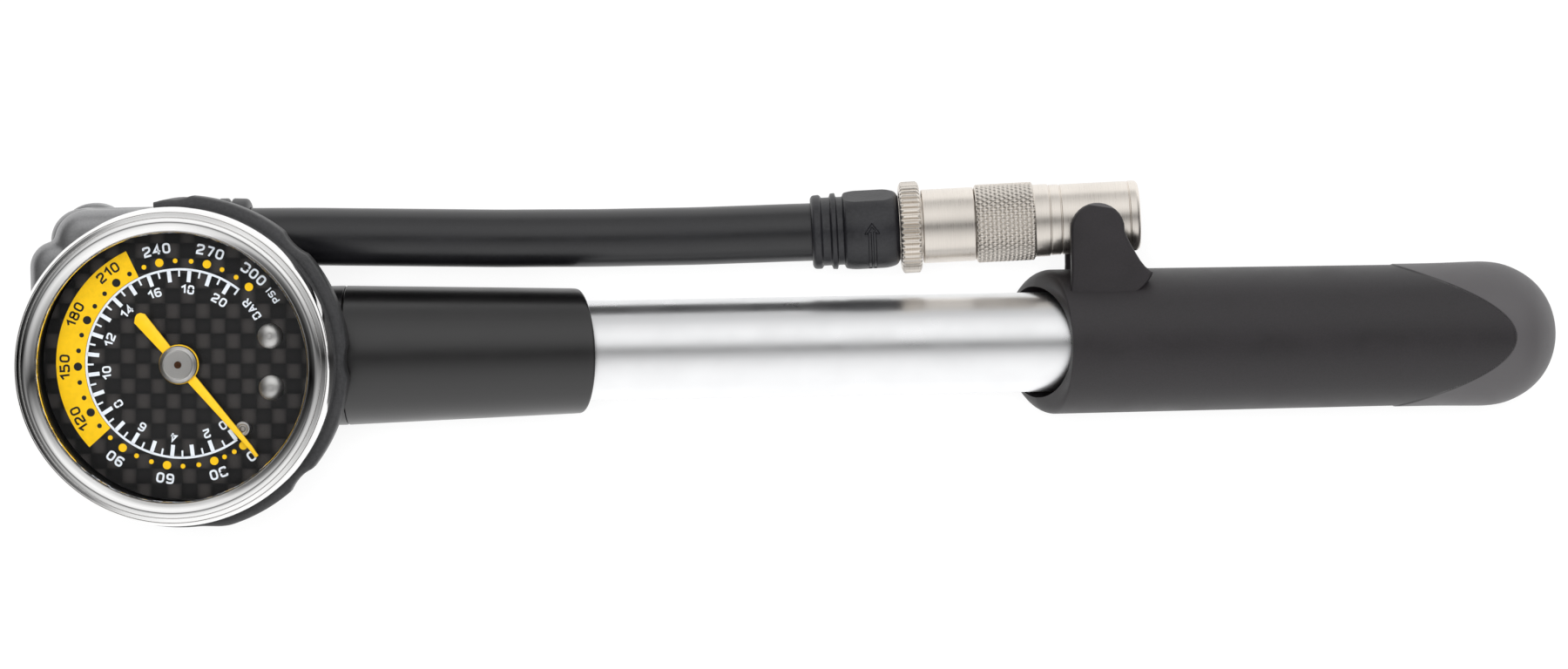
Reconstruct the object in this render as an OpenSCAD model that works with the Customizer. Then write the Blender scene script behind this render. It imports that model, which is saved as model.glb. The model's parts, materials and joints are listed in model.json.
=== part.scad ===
// Pocket shock pump: a hand pump for air shocks and forks, lying on its back.
// Origin: centre of the flat rest pad under the gauge. +X runs to the handle, +Z to the dial.
// All sizes are in millimetres.

/* [Pump axis and stroke] */
// Height of the pump's long axis above the rest plane
axis_z = 10.4; // [10.4:0.1:12]
// How far the handle pulls out
stroke = 145; // [100:1:150]

/* [Barrel] */
// Outside diameter of the barrel tube
barrel_d = 14.5; // [14.5:0.1:15]
// Wall of the barrel tube
barrel_wall = 1; // [0.8:0.1:1.2]
// X of the barrel tube's far end
barrel_end_x = 183; // [180:1:183]

/* [Neck sleeve] */
// Sleeve diameter beside the gauge
sleeve_d0 = 20.3; // [19.8:0.1:20.3]
// Sleeve diameter at its far end
sleeve_d1 = 18.2; // [17:0.1:19]
// X of the sleeve's slanted end, at the pump axis
sleeve_end_x = 56.3; // [45:0.1:70]
// Slant of the sleeve's end, degrees from square
sleeve_slant = 16.8; // [0:0.1:20]

/* [Handle] */
// Outside diameter of the grip
grip_d = 20.8; // [20:0.1:20.8]
// Bore of the grip
grip_bore_d = 16.2; // [16:0.1:16.4]
// X of the grip's mouth, at the pump axis
mouth_x = 123.6; // [120:0.1:126]
// Slant of the grip's mouth, degrees from square
mouth_slant = 25.4; // [0:0.1:30]
// X of the grip's rounded end
grip_end_x = 198.5; // [197:0.1:202]

/* [Gauge] */
// Outside diameter of the chrome bezel
bezel_d = 45.2; // [44:0.1:45.4]
// Visible diameter of the glass
window_d = 37.9; // [36:0.1:38.5]
// Outside diameter of the rubber guard ring
guard_d = 48.2; // [47:0.1:50]
// Height of the dial face
dial_z = 22.7; // [22.7:0.1:23]
// Angle of the dial's zero mark
dial_zero = -54.3; // [-60:0.1:-50]

/* [Hose and chuck] */
// Outside diameter of the hose
hose_d = 8.4; // [8:0.1:8.6]
// Tilt of the chuck away from the pump axis, degrees
chuck_tilt = 1.9; // [0:0.1:2]
// Outside diameter of the chuck's nose
nose_d = 10.24; // [10:0.02:10.4]
// Diameter of the valve port in the nose
port_d = 7.9; // [7.8:0.1:8]

/* [Hidden] */
$fn = 64;
big = 100;
running = 0.05;

barrel_r = barrel_d / 2;
bore_r = barrel_r - barrel_wall;
grip_r = grip_d / 2;
grip_bore_r = grip_bore_d / 2;
hose_r = hose_d / 2;
nose_r = nose_d / 2;
port_r = port_d / 2;

// Base body
block_r = 10.2;
block_x0 = -19.5;
shoulder_x = 22.6;
spigot_r = 9;
spigot_end_x = 30;
barrel_foot_x = 13;
barrel_seal_x = 25;
deck_z0 = 16.7;
deck_z1 = 20.6;
deck_r = 22.3;
corner_r = 3.7;
lobe_z1 = 24.6;
hood_x = -13.1;
hood_r = 4.6;
cup_r = 21;
cup_z = 17.9;
pad_r = 9.5;
pad_z = 1.4;
drill_r = 0.8;
gallery_z = 15.3;
ear_passage_z = 3;

// Hose swivel
pivot = [-14.9, 17.6];
ear_r = 5.2;
ear_z0 = 0.4;
ear_z1 = 5.4;
head_r = 4.6;
head_z0 = 5.7;
head_z1 = 16.3;
pin_r = 2.5;
pin_top_z = 13;
seal_zs = [7.6, 12];

// Check valve and bleed valve
valve_x = 9;
valve_bore_r = 3.2;
valve_floor_z = 7.2;
inlet_z = 8.4;
seat_z0 = 9.8;
seat_z1 = 11;
ball_r = 1.5;
seat_hole_r = 0.9;
ball_z = seat_z1 + sqrt(ball_r * ball_r - seat_hole_r * seat_hole_r);
stem_z0 = 16.9;
button_r = 3.2;
button_face_x = -18.2;
pocket_floor_x = -16.6;

// Gauge stack
case_floor_z = 18.5;
case_inner_r = 19.9;
case_rim_z = 28.6;
case_neck_r = 21.3;
bezel_z0 = 26.2;
bezel_top_z = 33.2;
guard_z1 = 25;
lens_z0 = 29.4;
lens_z1 = 31.2;
lens_r = 20.4;
dial_t = 0.4;
dial_r = 19.6;
scallops = 8;
scallop_r = 5.8;
scallop_deep = 0.5;
guard_a0 = 97.5;
guard_a1 = 160;

// Gauge movement
gear_m = 0.3;
pinion_teeth = 12;
sector_full_teeth = 72;
pinion_pitch_r = gear_m * pinion_teeth / 2;
sector_pitch_r = gear_m * sector_full_teeth / 2;
sector_x = -(pinion_pitch_r + sector_pitch_r);
tooth_share = 0.88;
gear_z0 = 19.9;
gear_z1 = 20.5;
plate_z0 = 18.8;
plate_z1 = 21.4;
plate_t = 0.5;
tail_len = 4.2;
link_z0 = 20.75;
link_z1 = 21.15;
link_tip = [1.6, -13.6];
tube_mid_r = 15.5;
tube_wide = 1.4;
tube_z0 = 19;
tube_z1 = 21.6;
arbor_r = 0.5;
pointer_z = 24.3;
pointer_t = 0.4;
pointer_len = 17.2;
pointer_tail = 9.3;
pointer_at_rest = dial_zero + 3.6;
rivets = [[12.86, 3.71], [12.86, -3.71]];

// Pump internals
rod_r = 2.5;
piston_x0 = 16;
piston_x1 = 24;
piston_r = bore_r - 0.1;
piston_ring_x = 20;
bumper_t = 2.5;
guide_x0 = piston_x1 + bumper_t + stroke + 0.5;
guide_x1 = 186;
guide_flange_r = 7.9;
anchor_x0 = 186.8;
anchor_x1 = 194;
anchor_r = 5;
anchor_pin_x = 191;
grip_floor_x = 188.5;
lip_x = 118.7;
lip_len = 4.2;

// Hose: its route is in the plane of the pump axis, chosen point by point
hose_route = [
    [-4, 17.6], [3, 17.6], [10, 17.5], [17, 17.4], [24, 17.2],
    [31, 17], [38, 16.8], [45, 16.6], [52, 16.5], [59, 16.4],
    [66, 16.4], [73, 16.4], [80, 16.5], [86, 16.6], [92, 16.7],
    [100, 16.95]
];
hose_bore_r = 1.5;
hose_sides = 12;
tail_x = hose_route[0][0];

// Chuck stations, measured along the chuck's own axis from the boot's first edge
chuck_origin = [90, 16.6];
boot_end = 13.1;
ring_u0 = 13.3;
ring_u1 = 16.4;
body_u0 = 10.1;
body_shoulder_u = 16.6;
body_end_u = 24.2;
spindle_end_u = 34.5;
collar_u0 = 24.3;
knurl_u1 = 32.9;
band_u = 35.1;
nose_u = 36.7;
nose_line_u = 46.6;
nose_end_u = 48.1;
neck_r = 4.4;
body_r = 5.38;
spindle_r = 3.6;
spindle_bore_r = 2;
knurl_r = 5.72;
web_u0 = 35;
web_u1 = 36.4;
seal_pocket_r = 3.5;
port_u = 38;
clip_u = 31.6;
ring_r = 6.67;
ring_teeth = 46;
depressor_r = 1.3;
depressor_u0 = 11.8;
depressor_tip_u = 37.8;
depressor_travel = 1.2;
peg_u = 14.25;
peg_r = 0.5;
peg_reach = 5.2;
depressor_seal_us = [12.5, 17.6];
spindle_seal_u = 27;

// Clip prongs over the chuck's nose
prong_x = 127.7;
prong_top_y = 20.4;
prong_r = 3.9;
prong_gap = 5.35;
prong_t = 1.95;

function ring_at(c, t, r, n) = [
    for (i = [0:n - 1])
        [c[0] - t[1] * r * cos(360 * i / n), c[1] + t[0] * r * cos(360 * i / n), r * sin(360 * i / n)]
];
function unit(v) = v / norm(v);
function heading(path, i) =
    unit(path[min(i + 1, len(path) - 1)] - path[max(i - 1, 0)]);
function involute(a) = tan(a) * 180 / PI - a;
function tooth_half(r, pitch_r, teeth) =
    90 / teeth * tooth_share + involute(20)
    - involute(acos(min(1, pitch_r * cos(20) / max(r, pitch_r * cos(20)))));
function polar(r, a) = [r * cos(a), r * sin(a)];
function tooth(pitch_r, teeth, root_r, tip_r, a) = concat(
    [for (i = [0:4]) let (r = root_r + (tip_r - root_r) * i / 4)
        polar(r, a - tooth_half(r, pitch_r, teeth))],
    [for (i = [4:-1:0]) let (r = root_r + (tip_r - root_r) * i / 4)
        polar(r, a + tooth_half(r, pitch_r, teeth))]
);
function flat_list(lists) = [for (l = lists) for (p = l) p];

// Places a shape that was drawn along +Z so that it runs along the pump axis from x
module on_axis(x) {
    translate([x, 0, axis_z])
        rotate([0, 90, 0])
            children();
}

// Places a shape that was drawn along +Z on the chuck's axis, u from the boot's first edge
module on_chuck(u) {
    translate([chuck_origin[0], chuck_origin[1], axis_z])
        rotate([0, 0, chuck_tilt])
            rotate([0, 90, 0])
                translate([0, 0, u])
                    children();
}

module pipe(r_out, r_in, h) {
    difference() {
        cylinder(r = r_out, h = h);
        translate([0, 0, -1])
            cylinder(r = r_in, h = h + 2);
    }
}

module seal_ring(mid_r, wire_r) {
    rotate_extrude()
        translate([mid_r, 0])
            circle(r = wire_r, $fn = 24);
}

// A closed skin over rings of points, each ring with the same count
module skin(rings) {
    n = len(rings[0]);
    last = len(rings) - 1;
    sides = [
        for (k = [0:last - 1]) for (i = [0:n - 1])
            [k * n + i, k * n + (i + 1) % n, (k + 1) * n + (i + 1) % n, (k + 1) * n + i]
    ];
    start = [[for (i = [n - 1:-1:0]) i]];
    end = [[for (i = [0:n - 1]) last * n + i]];
    polyhedron(points = flat_list(rings), faces = concat(sides, start, end), convexity = 6);
}

module coil_spring(mid_r, wire_r, h, turns) {
    steps = 14;
    rings = [
        for (k = [0:turns * steps]) let (a = 360 * k / steps)
            let (z = wire_r + (h - 2 * wire_r) * k / (turns * steps))
            [for (j = [0:5]) let (b = -60 * j)
                [
                    (mid_r + wire_r * cos(b)) * cos(a),
                    (mid_r + wire_r * cos(b)) * sin(a),
                    z + wire_r * sin(b)
                ]]
    ];
    skin(rings);
}

// ---- Base ----

module base_solid() {
    on_axis(block_x0)
        rotate_extrude()
            polygon([
                [0, 0], [block_r - 2, 0], [block_r - 0.6, 0.6], [block_r, 2],
                [block_r, shoulder_x - block_x0], [spigot_r, shoulder_x - block_x0],
                [spigot_r, spigot_end_x - block_x0], [0, spigot_end_x - block_x0]
            ]);
    translate([0, 0, pad_z])
        cylinder(r = pad_r + 0.5, h = axis_z);
    translate([0, 0, deck_z0])
        cylinder(r = deck_r, h = deck_z1 - deck_z0);
    corner_deck();
    swivel_ear();
}

// One raised lobe of the deck, with a chamfered top
module deck_lobe(xs, ys, r) {
    translate([0, 0, deck_z0])
        hull() {
            for (x = xs)
                for (y = ys)
                    translate([x, y]) {
                        cylinder(r = r, h = lobe_z1 - deck_z0 - 1.6);
                        cylinder(r = r - 1.2, h = lobe_z1 - deck_z0);
                    }
        }
}

// The deck's raised corner above the hose swivel, hollowed for the gauge case
module corner_deck() {
    difference() {
        union() {
            deck_lobe([-17.5, -4], [4, 14.1], corner_r);
            deck_lobe([hood_x, -6], [17.6], hood_r);
        }
        translate([0, 0, deck_z1 - 0.01])
            cylinder(r = deck_r + 0.02, h = 10);
    }
}

// The ear below the hose swivel, which holds its pin
module swivel_ear() {
    translate([pivot[0], pivot[1], ear_z0])
        cylinder(r = ear_r, h = ear_z1 - ear_z0);
    translate([pivot[0] - ear_r + 0.6, 0, ear_z0 + 0.8])
        cube([2 * ear_r, pivot[1], ear_z1 - ear_z0 - 0.8]);
}

module base_body() {
    color([0.16, 0.16, 0.17])
        difference() {
            base_solid();
            translate([0, 0, -1])
                cylinder(r = pad_r + 3, h = pad_z + 1);
            on_axis(barrel_foot_x)
                cylinder(r = barrel_r, h = 30);
            translate([0, 0, cup_z])
                cylinder(r = cup_r, h = 10);
            translate([valve_x, 0, valve_floor_z])
                cylinder(r = valve_bore_r, h = 20);
            translate([valve_x, 0, inlet_z])
                rotate([0, 90, 0])
                    cylinder(r = 1.1, h = barrel_foot_x - valve_x + 1);
            translate([pivot[0], 0, gallery_z])
                rotate([0, 90, 0])
                    cylinder(r = drill_r, h = valve_x - pivot[0]);
            translate([pivot[0], 0, ear_passage_z])
                cylinder(r = drill_r, h = gallery_z - ear_passage_z);
            translate([pivot[0], 0, ear_passage_z])
                rotate([-90, 0, 0])
                    cylinder(r = drill_r, h = pivot[1]);
            translate([pivot[0], pivot[1], -1])
                cylinder(r = pin_r, h = 10);
            bleed_cavity();
            for (x = [-11, 11])
                translate([x, -14.5, deck_z0 - 1])
                    cylinder(r = 1, h = 5);
            on_axis(barrel_seal_x - 0.1)
                cylinder(r = barrel_r + 0.5, h = 1.2);
        }
}

module bleed_cavity() {
    on_axis(block_x0 - 1)
        cylinder(r = button_r + running, h = pocket_floor_x - block_x0 + 1);
    on_axis(pocket_floor_x - 1)
        cylinder(r = 0.95, h = 2);
    on_axis(-16)
        cylinder(r = 1.6, h = 3.4);
}

module neck_sleeve() {
    color([0.07, 0.07, 0.08])
        difference() {
            on_axis(shoulder_x)
                cylinder(r1 = sleeve_d0 / 2, r2 = sleeve_d1 / 2 - 0.1, h = 37.5);
            on_axis(shoulder_x - 1)
                cylinder(r = spigot_r, h = spigot_end_x - shoulder_x + 1);
            on_axis(shoulder_x)
                cylinder(r = barrel_r, h = 50);
            translate([sleeve_end_x, 0, axis_z])
                rotate([0, sleeve_slant, 0])
                    translate([0, -big / 2, -big / 2])
                        cube(big);
        }
}

module barrel() {
    color([0.78, 0.79, 0.81])
        on_axis(barrel_foot_x)
            pipe(barrel_r, bore_r, barrel_end_x - barrel_foot_x);
}

module barrel_seal() {
    color([0.05, 0.05, 0.05])
        on_axis(barrel_seal_x)
            pipe(barrel_r + 0.5, barrel_r, 1);
}

module rod_guide() {
    color([0.1, 0.1, 0.1])
        difference() {
            union() {
                on_axis(guide_x0)
                    cylinder(r = bore_r, h = barrel_end_x - guide_x0);
                on_axis(barrel_end_x)
                    cylinder(r = guide_flange_r, h = guide_x1 - barrel_end_x);
            }
            on_axis(guide_x0 - 1)
                cylinder(r = rod_r + running, h = 20);
            on_axis(guide_x1 - 2)
                cylinder(r = rod_r + 1.2, h = 3);
        }
}

module rod_wiper() {
    color([0.05, 0.05, 0.05])
        on_axis(guide_x1 - 2)
            pipe(rod_r + 1.2, rod_r + running, 1.5);
}

module rest_pad() {
    color([0.08, 0.08, 0.08])
        cylinder(r = pad_r, h = pad_z);
}

module swivel_pin() {
    color([0.75, 0.72, 0.66])
        translate([pivot[0], pivot[1], 0])
            difference() {
                translate([0, 0, ear_z0 + 0.2])
                    cylinder(r = pin_r, h = pin_top_z - ear_z0 - 0.2);
                translate([0, 0, 2])
                    cylinder(r = 1, h = 9.6);
                translate([0, 0, ear_passage_z])
                    rotate([90, 0, 0])
                        cylinder(r = 0.6, h = 6);
                translate([0, 0, axis_z])
                    rotate([0, 90, 0])
                        cylinder(r = 0.6, h = 6);
                for (z = seal_zs)
                    translate([0, 0, z - 0.4])
                        pipe(4, pin_r - 0.63, 0.8);
            }
}

module swivel_seals() {
    color([0.05, 0.05, 0.05])
        for (z = seal_zs)
            translate([pivot[0], pivot[1], z])
                seal_ring(pin_r - 0.3, 0.32);
}

module check_valve_seat() {
    color([0.8, 0.68, 0.4])
        translate([valve_x, 0, seat_z0])
            pipe(valve_bore_r, seat_hole_r, seat_z1 - seat_z0);
}

module check_valve_ball() {
    color([0.8, 0.8, 0.82])
        translate([valve_x, 0, ball_z])
            sphere(r = ball_r - 0.01);
}

module check_valve_spring() {
    color([0.7, 0.7, 0.72])
        translate([valve_x, 0, ball_z + ball_r - 0.35])
            coil_spring(1.6, 0.2, stem_z0 - ball_z - ball_r + 0.33, 4);
}

module bleed_button() {
    color([0.12, 0.12, 0.13]) {
        on_axis(button_face_x - 3.3)
            cylinder(r1 = button_r - 0.5, r2 = button_r, h = 0.5);
        on_axis(button_face_x - 2.8)
            cylinder(r = button_r, h = 2.8);
        on_axis(button_face_x)
            cylinder(r = 0.9, h = -14.6 - button_face_x);
    }
}

module bleed_seal() {
    color([0.05, 0.05, 0.05])
        on_axis(-15.95)
            pipe(1.4, 0.9, 0.6);
}

module bleed_spring() {
    color([0.7, 0.7, 0.72])
        on_axis(button_face_x + 0.02)
            coil_spring(1.9, 0.18, pocket_floor_x - button_face_x - 0.04, 3);
}

// ---- Gauge ----

module gauge_case() {
    color([0.06, 0.06, 0.06])
        difference() {
            union() {
                translate([0, 0, cup_z])
                    cylinder(r = cup_r, h = 4);
                translate([0, 0, deck_z1])
                    cylinder(r = deck_r, h = bezel_z0 - deck_z1);
                translate([0, 0, bezel_z0 - 1])
                    cylinder(r = case_neck_r, h = case_rim_z - bezel_z0 + 1);
            }
            translate([0, 0, case_floor_z])
                cylinder(r = case_inner_r, h = 20);
            translate([valve_x, 0, cup_z - 1])
                cylinder(r = valve_bore_r, h = 3);
            for (x = [-11, 11])
                translate([x, -14.5, cup_z - 1])
                    cylinder(r = 1, h = 3);
        }
}

module case_screws() {
    color([0.7, 0.7, 0.72])
        for (x = [-11, 11])
            translate([x, -14.5, 0])
                difference() {
                    union() {
                        translate([0, 0, deck_z0 - 1.1])
                            cylinder(r = 1.9, h = 1.1);
                        translate([0, 0, deck_z0])
                            cylinder(r = 1, h = case_floor_z - deck_z0);
                    }
                    translate([-0.25, -3, deck_z0 - 2])
                        cube([0.5, 6, 1.5]);
                }
}

module gauge_guard() {
    color([0.2, 0.2, 0.21])
        translate([0, 0, deck_z1])
            difference() {
                pipe(guard_d / 2, deck_r, guard_z1 - deck_z1);
                for (i = [0:scallops - 1])
                    rotate([0, 0, 360 * i / scallops])
                        translate([guard_d / 2 + scallop_r - scallop_deep, 0, -1])
                            cylinder(r = scallop_r, h = 10);
                translate([0, 0, -1])
                    linear_extrude(10)
                        polygon([[0, 0], polar(60, guard_a0), polar(60, 130), polar(60, guard_a1)]);
            }
}

module bezel_ring() {
    wide = bezel_d / 2;
    lip = window_d / 2;
    color([0.85, 0.85, 0.87])
        rotate_extrude()
            polygon([
                [case_neck_r, bezel_z0], [wide, bezel_z0], [wide, bezel_top_z - 3.6],
                [wide - 0.25, bezel_top_z - 2.4], [wide - 0.75, bezel_top_z - 1.4],
                [wide - 0.8, bezel_top_z - 1], [wide - 1.4, bezel_top_z - 0.45],
                [wide - 1.5, bezel_top_z - 0.2], [wide - 2.1, bezel_top_z],
                [lip + 0.7, bezel_top_z - 0.3], [lip + 0.15, bezel_top_z - 1],
                [lip, lens_z1], [lens_r, lens_z1], [lens_r, case_rim_z],
                [case_neck_r, case_rim_z]
            ]);
}

module lens() {
    color([0.85, 0.9, 0.92, 0.3])
        translate([0, 0, lens_z0])
            cylinder(r = lens_r, h = lens_z1 - lens_z0);
}

module lens_gasket() {
    color([0.05, 0.05, 0.05])
        translate([0, 0, case_rim_z])
            pipe(lens_r, lens_r - 1.2, lens_z0 - case_rim_z);
}

module dial_plate() {
    color([0.08, 0.08, 0.09])
        translate([0, 0, dial_z - dial_t])
            difference() {
                cylinder(r = dial_r, h = dial_t);
                translate([0, 0, -1])
                    cylinder(r = 1.2, h = 3);
                for (p = rivets)
                    translate([p[0], p[1], -1])
                        cylinder(r = 0.9, h = 3);
                translate(concat(polar(12.85, dial_zero + 6.9), [-1]))
                    cylinder(r = 0.6, h = 3);
            }
}

module dial_rivets() {
    color([0.8, 0.8, 0.8])
        for (p = rivets)
            translate([p[0], p[1], 0]) {
                translate([0, 0, dial_z])
                    intersection() {
                        translate([0, 0, -1.1])
                            sphere(r = 2.1);
                        cylinder(r = 1.8, h = 3);
                    }
                translate([0, 0, dial_z - 2])
                    cylinder(r = 0.9, h = 2);
            }
}

module stop_pin() {
    color([0.7, 0.7, 0.7])
        translate(concat(polar(12.85, dial_zero + 6.9), [0])) {
            translate([0, 0, dial_z])
                pipe(1.1, 0.5, 1.2);
            translate([0, 0, dial_z - dial_t - 0.4])
                cylinder(r = 0.6, h = dial_t + 0.7);
        }
}

module bourdon_shape() {
    rotate([0, 0, 15])
        rotate_extrude(angle = 255)
            translate([tube_mid_r - tube_wide / 2, tube_z0])
                square([tube_wide, tube_z1 - tube_z0]);
}

module gauge_socket() {
    color([0.8, 0.68, 0.4])
        difference() {
            union() {
                translate([5.6, -5.6, case_floor_z])
                    cube([11, 11.2, dial_z - dial_t - case_floor_z]);
                translate([valve_x, 0, stem_z0])
                    cylinder(r = valve_bore_r, h = case_floor_z - stem_z0);
            }
            bourdon_shape();
            translate([valve_x, 0, stem_z0 - 1])
                cylinder(r = drill_r, h = 4.4);
            translate([valve_x, 0, stem_z0 + 0.3])
                pipe(6, valve_bore_r - 0.6, 0.8);
            for (p = rivets)
                translate([p[0], p[1], dial_z - 2])
                    cylinder(r = 0.9, h = 3);
        }
}

module gauge_seal() {
    color([0.05, 0.05, 0.05])
        translate([valve_x, 0, stem_z0 + 0.7])
            seal_ring(valve_bore_r - 0.3, 0.29);
}

module bourdon_tube() {
    color([0.78, 0.62, 0.36]) {
        bourdon_shape();
        translate([0, -tube_mid_r - 0.7, tube_z0])
            cube([2.4, tube_wide, 1.2]);
        translate([-2.4, -tube_mid_r + 0.7, tube_z0])
            cube([4.8, 1.6, 1.2]);
    }
}

module frame_plate() {
    linear_extrude(plate_t)
        difference() {
            polygon([
                [-14, -2.2], [-2, -3], [1, -8], [5.6, -8], [5.6, 8], [1, 8],
                [-11, 7], [-12.6, 5.6], [-13.8, 2.2]
            ]);
            circle(r = arbor_r + running);
            translate([sector_x, 0])
                circle(r = arbor_r + running);
        }
}

module movement_frame() {
    color([0.8, 0.7, 0.45]) {
        translate([0, 0, plate_z0])
            frame_plate();
        translate([0, 0, plate_z1])
            frame_plate();
        for (p = [[-11.8, 5.2], [3.6, 6.5], [3.6, -6.5]])
            translate([p[0], p[1], plate_z0 + plate_t])
                cylinder(r = 0.8, h = plate_z1 - plate_z0 - plate_t);
    }
}

// The sector and its tail turn together on a fixed pin
module sector_gear() {
    pitch = 360 / sector_full_teeth;
    root_r = sector_pitch_r - 1.1 * gear_m;
    tip_r = sector_pitch_r + 0.65 * gear_m;
    color([0.82, 0.72, 0.45])
        translate([sector_x, 0, 0]) {
            translate([0, 0, gear_z0])
                linear_extrude(gear_z1 - gear_z0) {
                    polygon(concat(
                        [[0, 0]],
                        flat_list([
                            for (i = [-11:2])
                                tooth(sector_pitch_r, sector_full_teeth, root_r, tip_r, i * pitch)
                        ])
                    ));
                    circle(r = 1.2);
                    translate([-0.6, -tail_len])
                        square([1.2, tail_len]);
                    translate([0, -tail_len])
                        circle(r = 0.9);
                }
            translate([0, 0, plate_z0 + 0.1])
                cylinder(r = arbor_r, h = plate_z1 - plate_z0 + 0.3);
            translate([0, -tail_len, gear_z0])
                cylinder(r = 0.4, h = link_z1 - gear_z0);
        }
}

module movement_link() {
    from = [sector_x, -tail_len];
    run = link_tip - from;
    color([0.82, 0.72, 0.45])
        translate([from[0], from[1], link_z0])
            rotate([0, 0, atan2(run[1], run[0])])
                linear_extrude(link_z1 - link_z0)
                    difference() {
                        union() {
                            circle(r = 0.9);
                            translate([0, -0.4])
                                square([norm(run), 0.8]);
                            translate([norm(run), 0])
                                circle(r = 0.9);
                        }
                        circle(r = 0.4 + running);
                        translate([norm(run), 0])
                            circle(r = 0.4);
                    }
}

module hairspring() {
    coils = 3;
    steps = 72;
    wall = 0.06;
    line = [for (k = [0:steps]) [0.75 + 2.3 * k / steps, 360 * coils * k / steps]];
    color([0.6, 0.6, 0.65])
        translate([0, 0, gear_z1 + 0.3])
            linear_extrude(0.4)
                polygon(concat(
                    [for (p = line) polar(p[0] + wall, p[1])],
                    [for (k = [steps:-1:0]) polar(line[k][0] - wall, line[k][1])]
                ));
}

module pointer_arbor() {
    pitch = 360 / pinion_teeth;
    root_r = pinion_pitch_r - 0.95 * gear_m;
    tip_r = pinion_pitch_r + 0.8 * gear_m;
    color([0.82, 0.72, 0.45]) {
        translate([0, 0, gear_z0 - 0.1])
            linear_extrude(gear_z1 - gear_z0 + 0.2)
                polygon(flat_list([
                    for (i = [0:pinion_teeth - 1])
                        tooth(pinion_pitch_r, pinion_teeth, root_r, tip_r, 180 + (i + 0.5) * pitch)
                ]));
        translate([0, 0, plate_z0 + 0.1])
            cylinder(r = arbor_r, h = 25.95 - plate_z0 - 0.1);
    }
}

module pointer() {
    color([0.95, 0.75, 0.1])
        rotate([0, 0, pointer_at_rest])
            difference() {
                union() {
                    translate([0, 0, pointer_z])
                        linear_extrude(pointer_t) {
                            polygon([
                                [0, -0.7], [pointer_len - 0.3, -0.3], [pointer_len, 0],
                                [pointer_len - 0.3, 0.3], [0, 0.7]
                            ]);
                            polygon([
                                [0, -0.85], [-pointer_tail + 0.2, -1.05], [-pointer_tail, 0.1],
                                [-pointer_tail + 1, 1.05], [0, 0.85]
                            ]);
                            circle(r = 2.75);
                        }
                    translate([0, 0, pointer_z - 0.8])
                        cylinder(r = 1.3, h = 0.8);
                }
                translate([0, 0, pointer_z - 2])
                    cylinder(r = arbor_r, h = 4);
            }
}

module pointer_cap() {
    color([0.7, 0.7, 0.7])
        translate([0, 0, pointer_z + pointer_t])
            difference() {
                rotate_extrude()
                    polygon([
                        [arbor_r, 0], [2.6, 0], [2.6, 0.9], [2.3, 1.2], [1.95, 1.2],
                        [1.85, 1.05], [arbor_r, 1.05]
                    ]);
                translate([0, 0, -1])
                    cylinder(r = arbor_r, h = 4);
            }
}

// ---- Handle ----

function dome_r(t) = grip_r * pow(cos(t), 1.5);

module grip_profile() {
    nose_len = 9.3;
    polygon(concat(
        [[grip_bore_r, lip_x], [grip_bore_r + 0.6, lip_x + 0.3]],
        [for (t = [15:15:90]) [
            grip_bore_r + (grip_r - grip_bore_r) * sin(t), lip_x + 0.4 + lip_len * (1 - cos(t))
        ]],
        [[grip_r, grip_end_x - nose_len]],
        [for (t = [10:10:80]) [dome_r(t), grip_end_x - nose_len + nose_len * sin(t)]],
        [[0, grip_end_x], [0, grip_floor_x], [grip_bore_r, grip_floor_x]]
    ));
}

module handle_grip() {
    color([0.12, 0.12, 0.12])
        difference() {
            on_axis(0)
                rotate_extrude()
                    grip_profile();
            translate([mouth_x, 0, axis_z])
                rotate([0, mouth_slant, 0])
                    translate([-big, -big / 2, -big / 2])
                        cube(big);
            on_axis(grip_floor_x - 1)
                cylinder(r = anchor_r, h = anchor_x1 - grip_floor_x + 1);
        }
}

module prong_outline() {
    translate([prong_x + prong_r, prong_top_y - prong_r])
        circle(r = prong_r);
    polygon([
        [prong_x, 5], [prong_x, prong_top_y - prong_r],
        [prong_x + 2 * prong_r, prong_top_y - prong_r], [prong_x + 8.6, 13.6],
        [prong_x + 10.1, 11.4], [prong_x + 12, 10], [prong_x + 12, 5]
    ]);
}

module hose_clip() {
    color([0.12, 0.12, 0.12])
        difference() {
            for (side = [1, -1])
                translate([0, 0, axis_z + side * (prong_gap + prong_t / 2) - prong_t / 2])
                    linear_extrude(prong_t)
                        prong_outline();
            on_axis(110)
                cylinder(r = grip_r, h = 50);
        }
}

module rod_anchor() {
    color([0.7, 0.7, 0.72])
        difference() {
            on_axis(anchor_x0)
                cylinder(r = anchor_r, h = anchor_x1 - anchor_x0);
            on_axis(anchor_x0 - 1)
                cylinder(r = rod_r, h = 7.7);
            translate([anchor_pin_x, 0, axis_z - 8])
                cylinder(r = 0.9, h = 16);
        }
}

module anchor_pin() {
    color([0.7, 0.7, 0.72])
        translate([anchor_pin_x, 0, axis_z - 4.8])
            cylinder(r = 0.9, h = 9.6);
}

module pump_rod() {
    color([0.75, 0.75, 0.77])
        difference() {
            on_axis(piston_x0 + 2)
                cylinder(r = rod_r, h = anchor_x0 + 6.7 - piston_x0 - 2);
            translate([anchor_pin_x, 0, axis_z - 8])
                cylinder(r = 0.9, h = 16);
        }
}

module piston_head() {
    color([0.85, 0.85, 0.83])
        difference() {
            on_axis(piston_x0)
                cylinder(r = piston_r, h = piston_x1 - piston_x0);
            on_axis(piston_x0 + 2)
                cylinder(r = rod_r, h = 20);
            on_axis(piston_ring_x - 1)
                pipe(9, piston_r - 1.75, 2);
        }
}

module piston_seal() {
    color([0.05, 0.05, 0.05])
        on_axis(piston_ring_x)
            seal_ring(bore_r - 0.93, 0.9);
}

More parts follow.
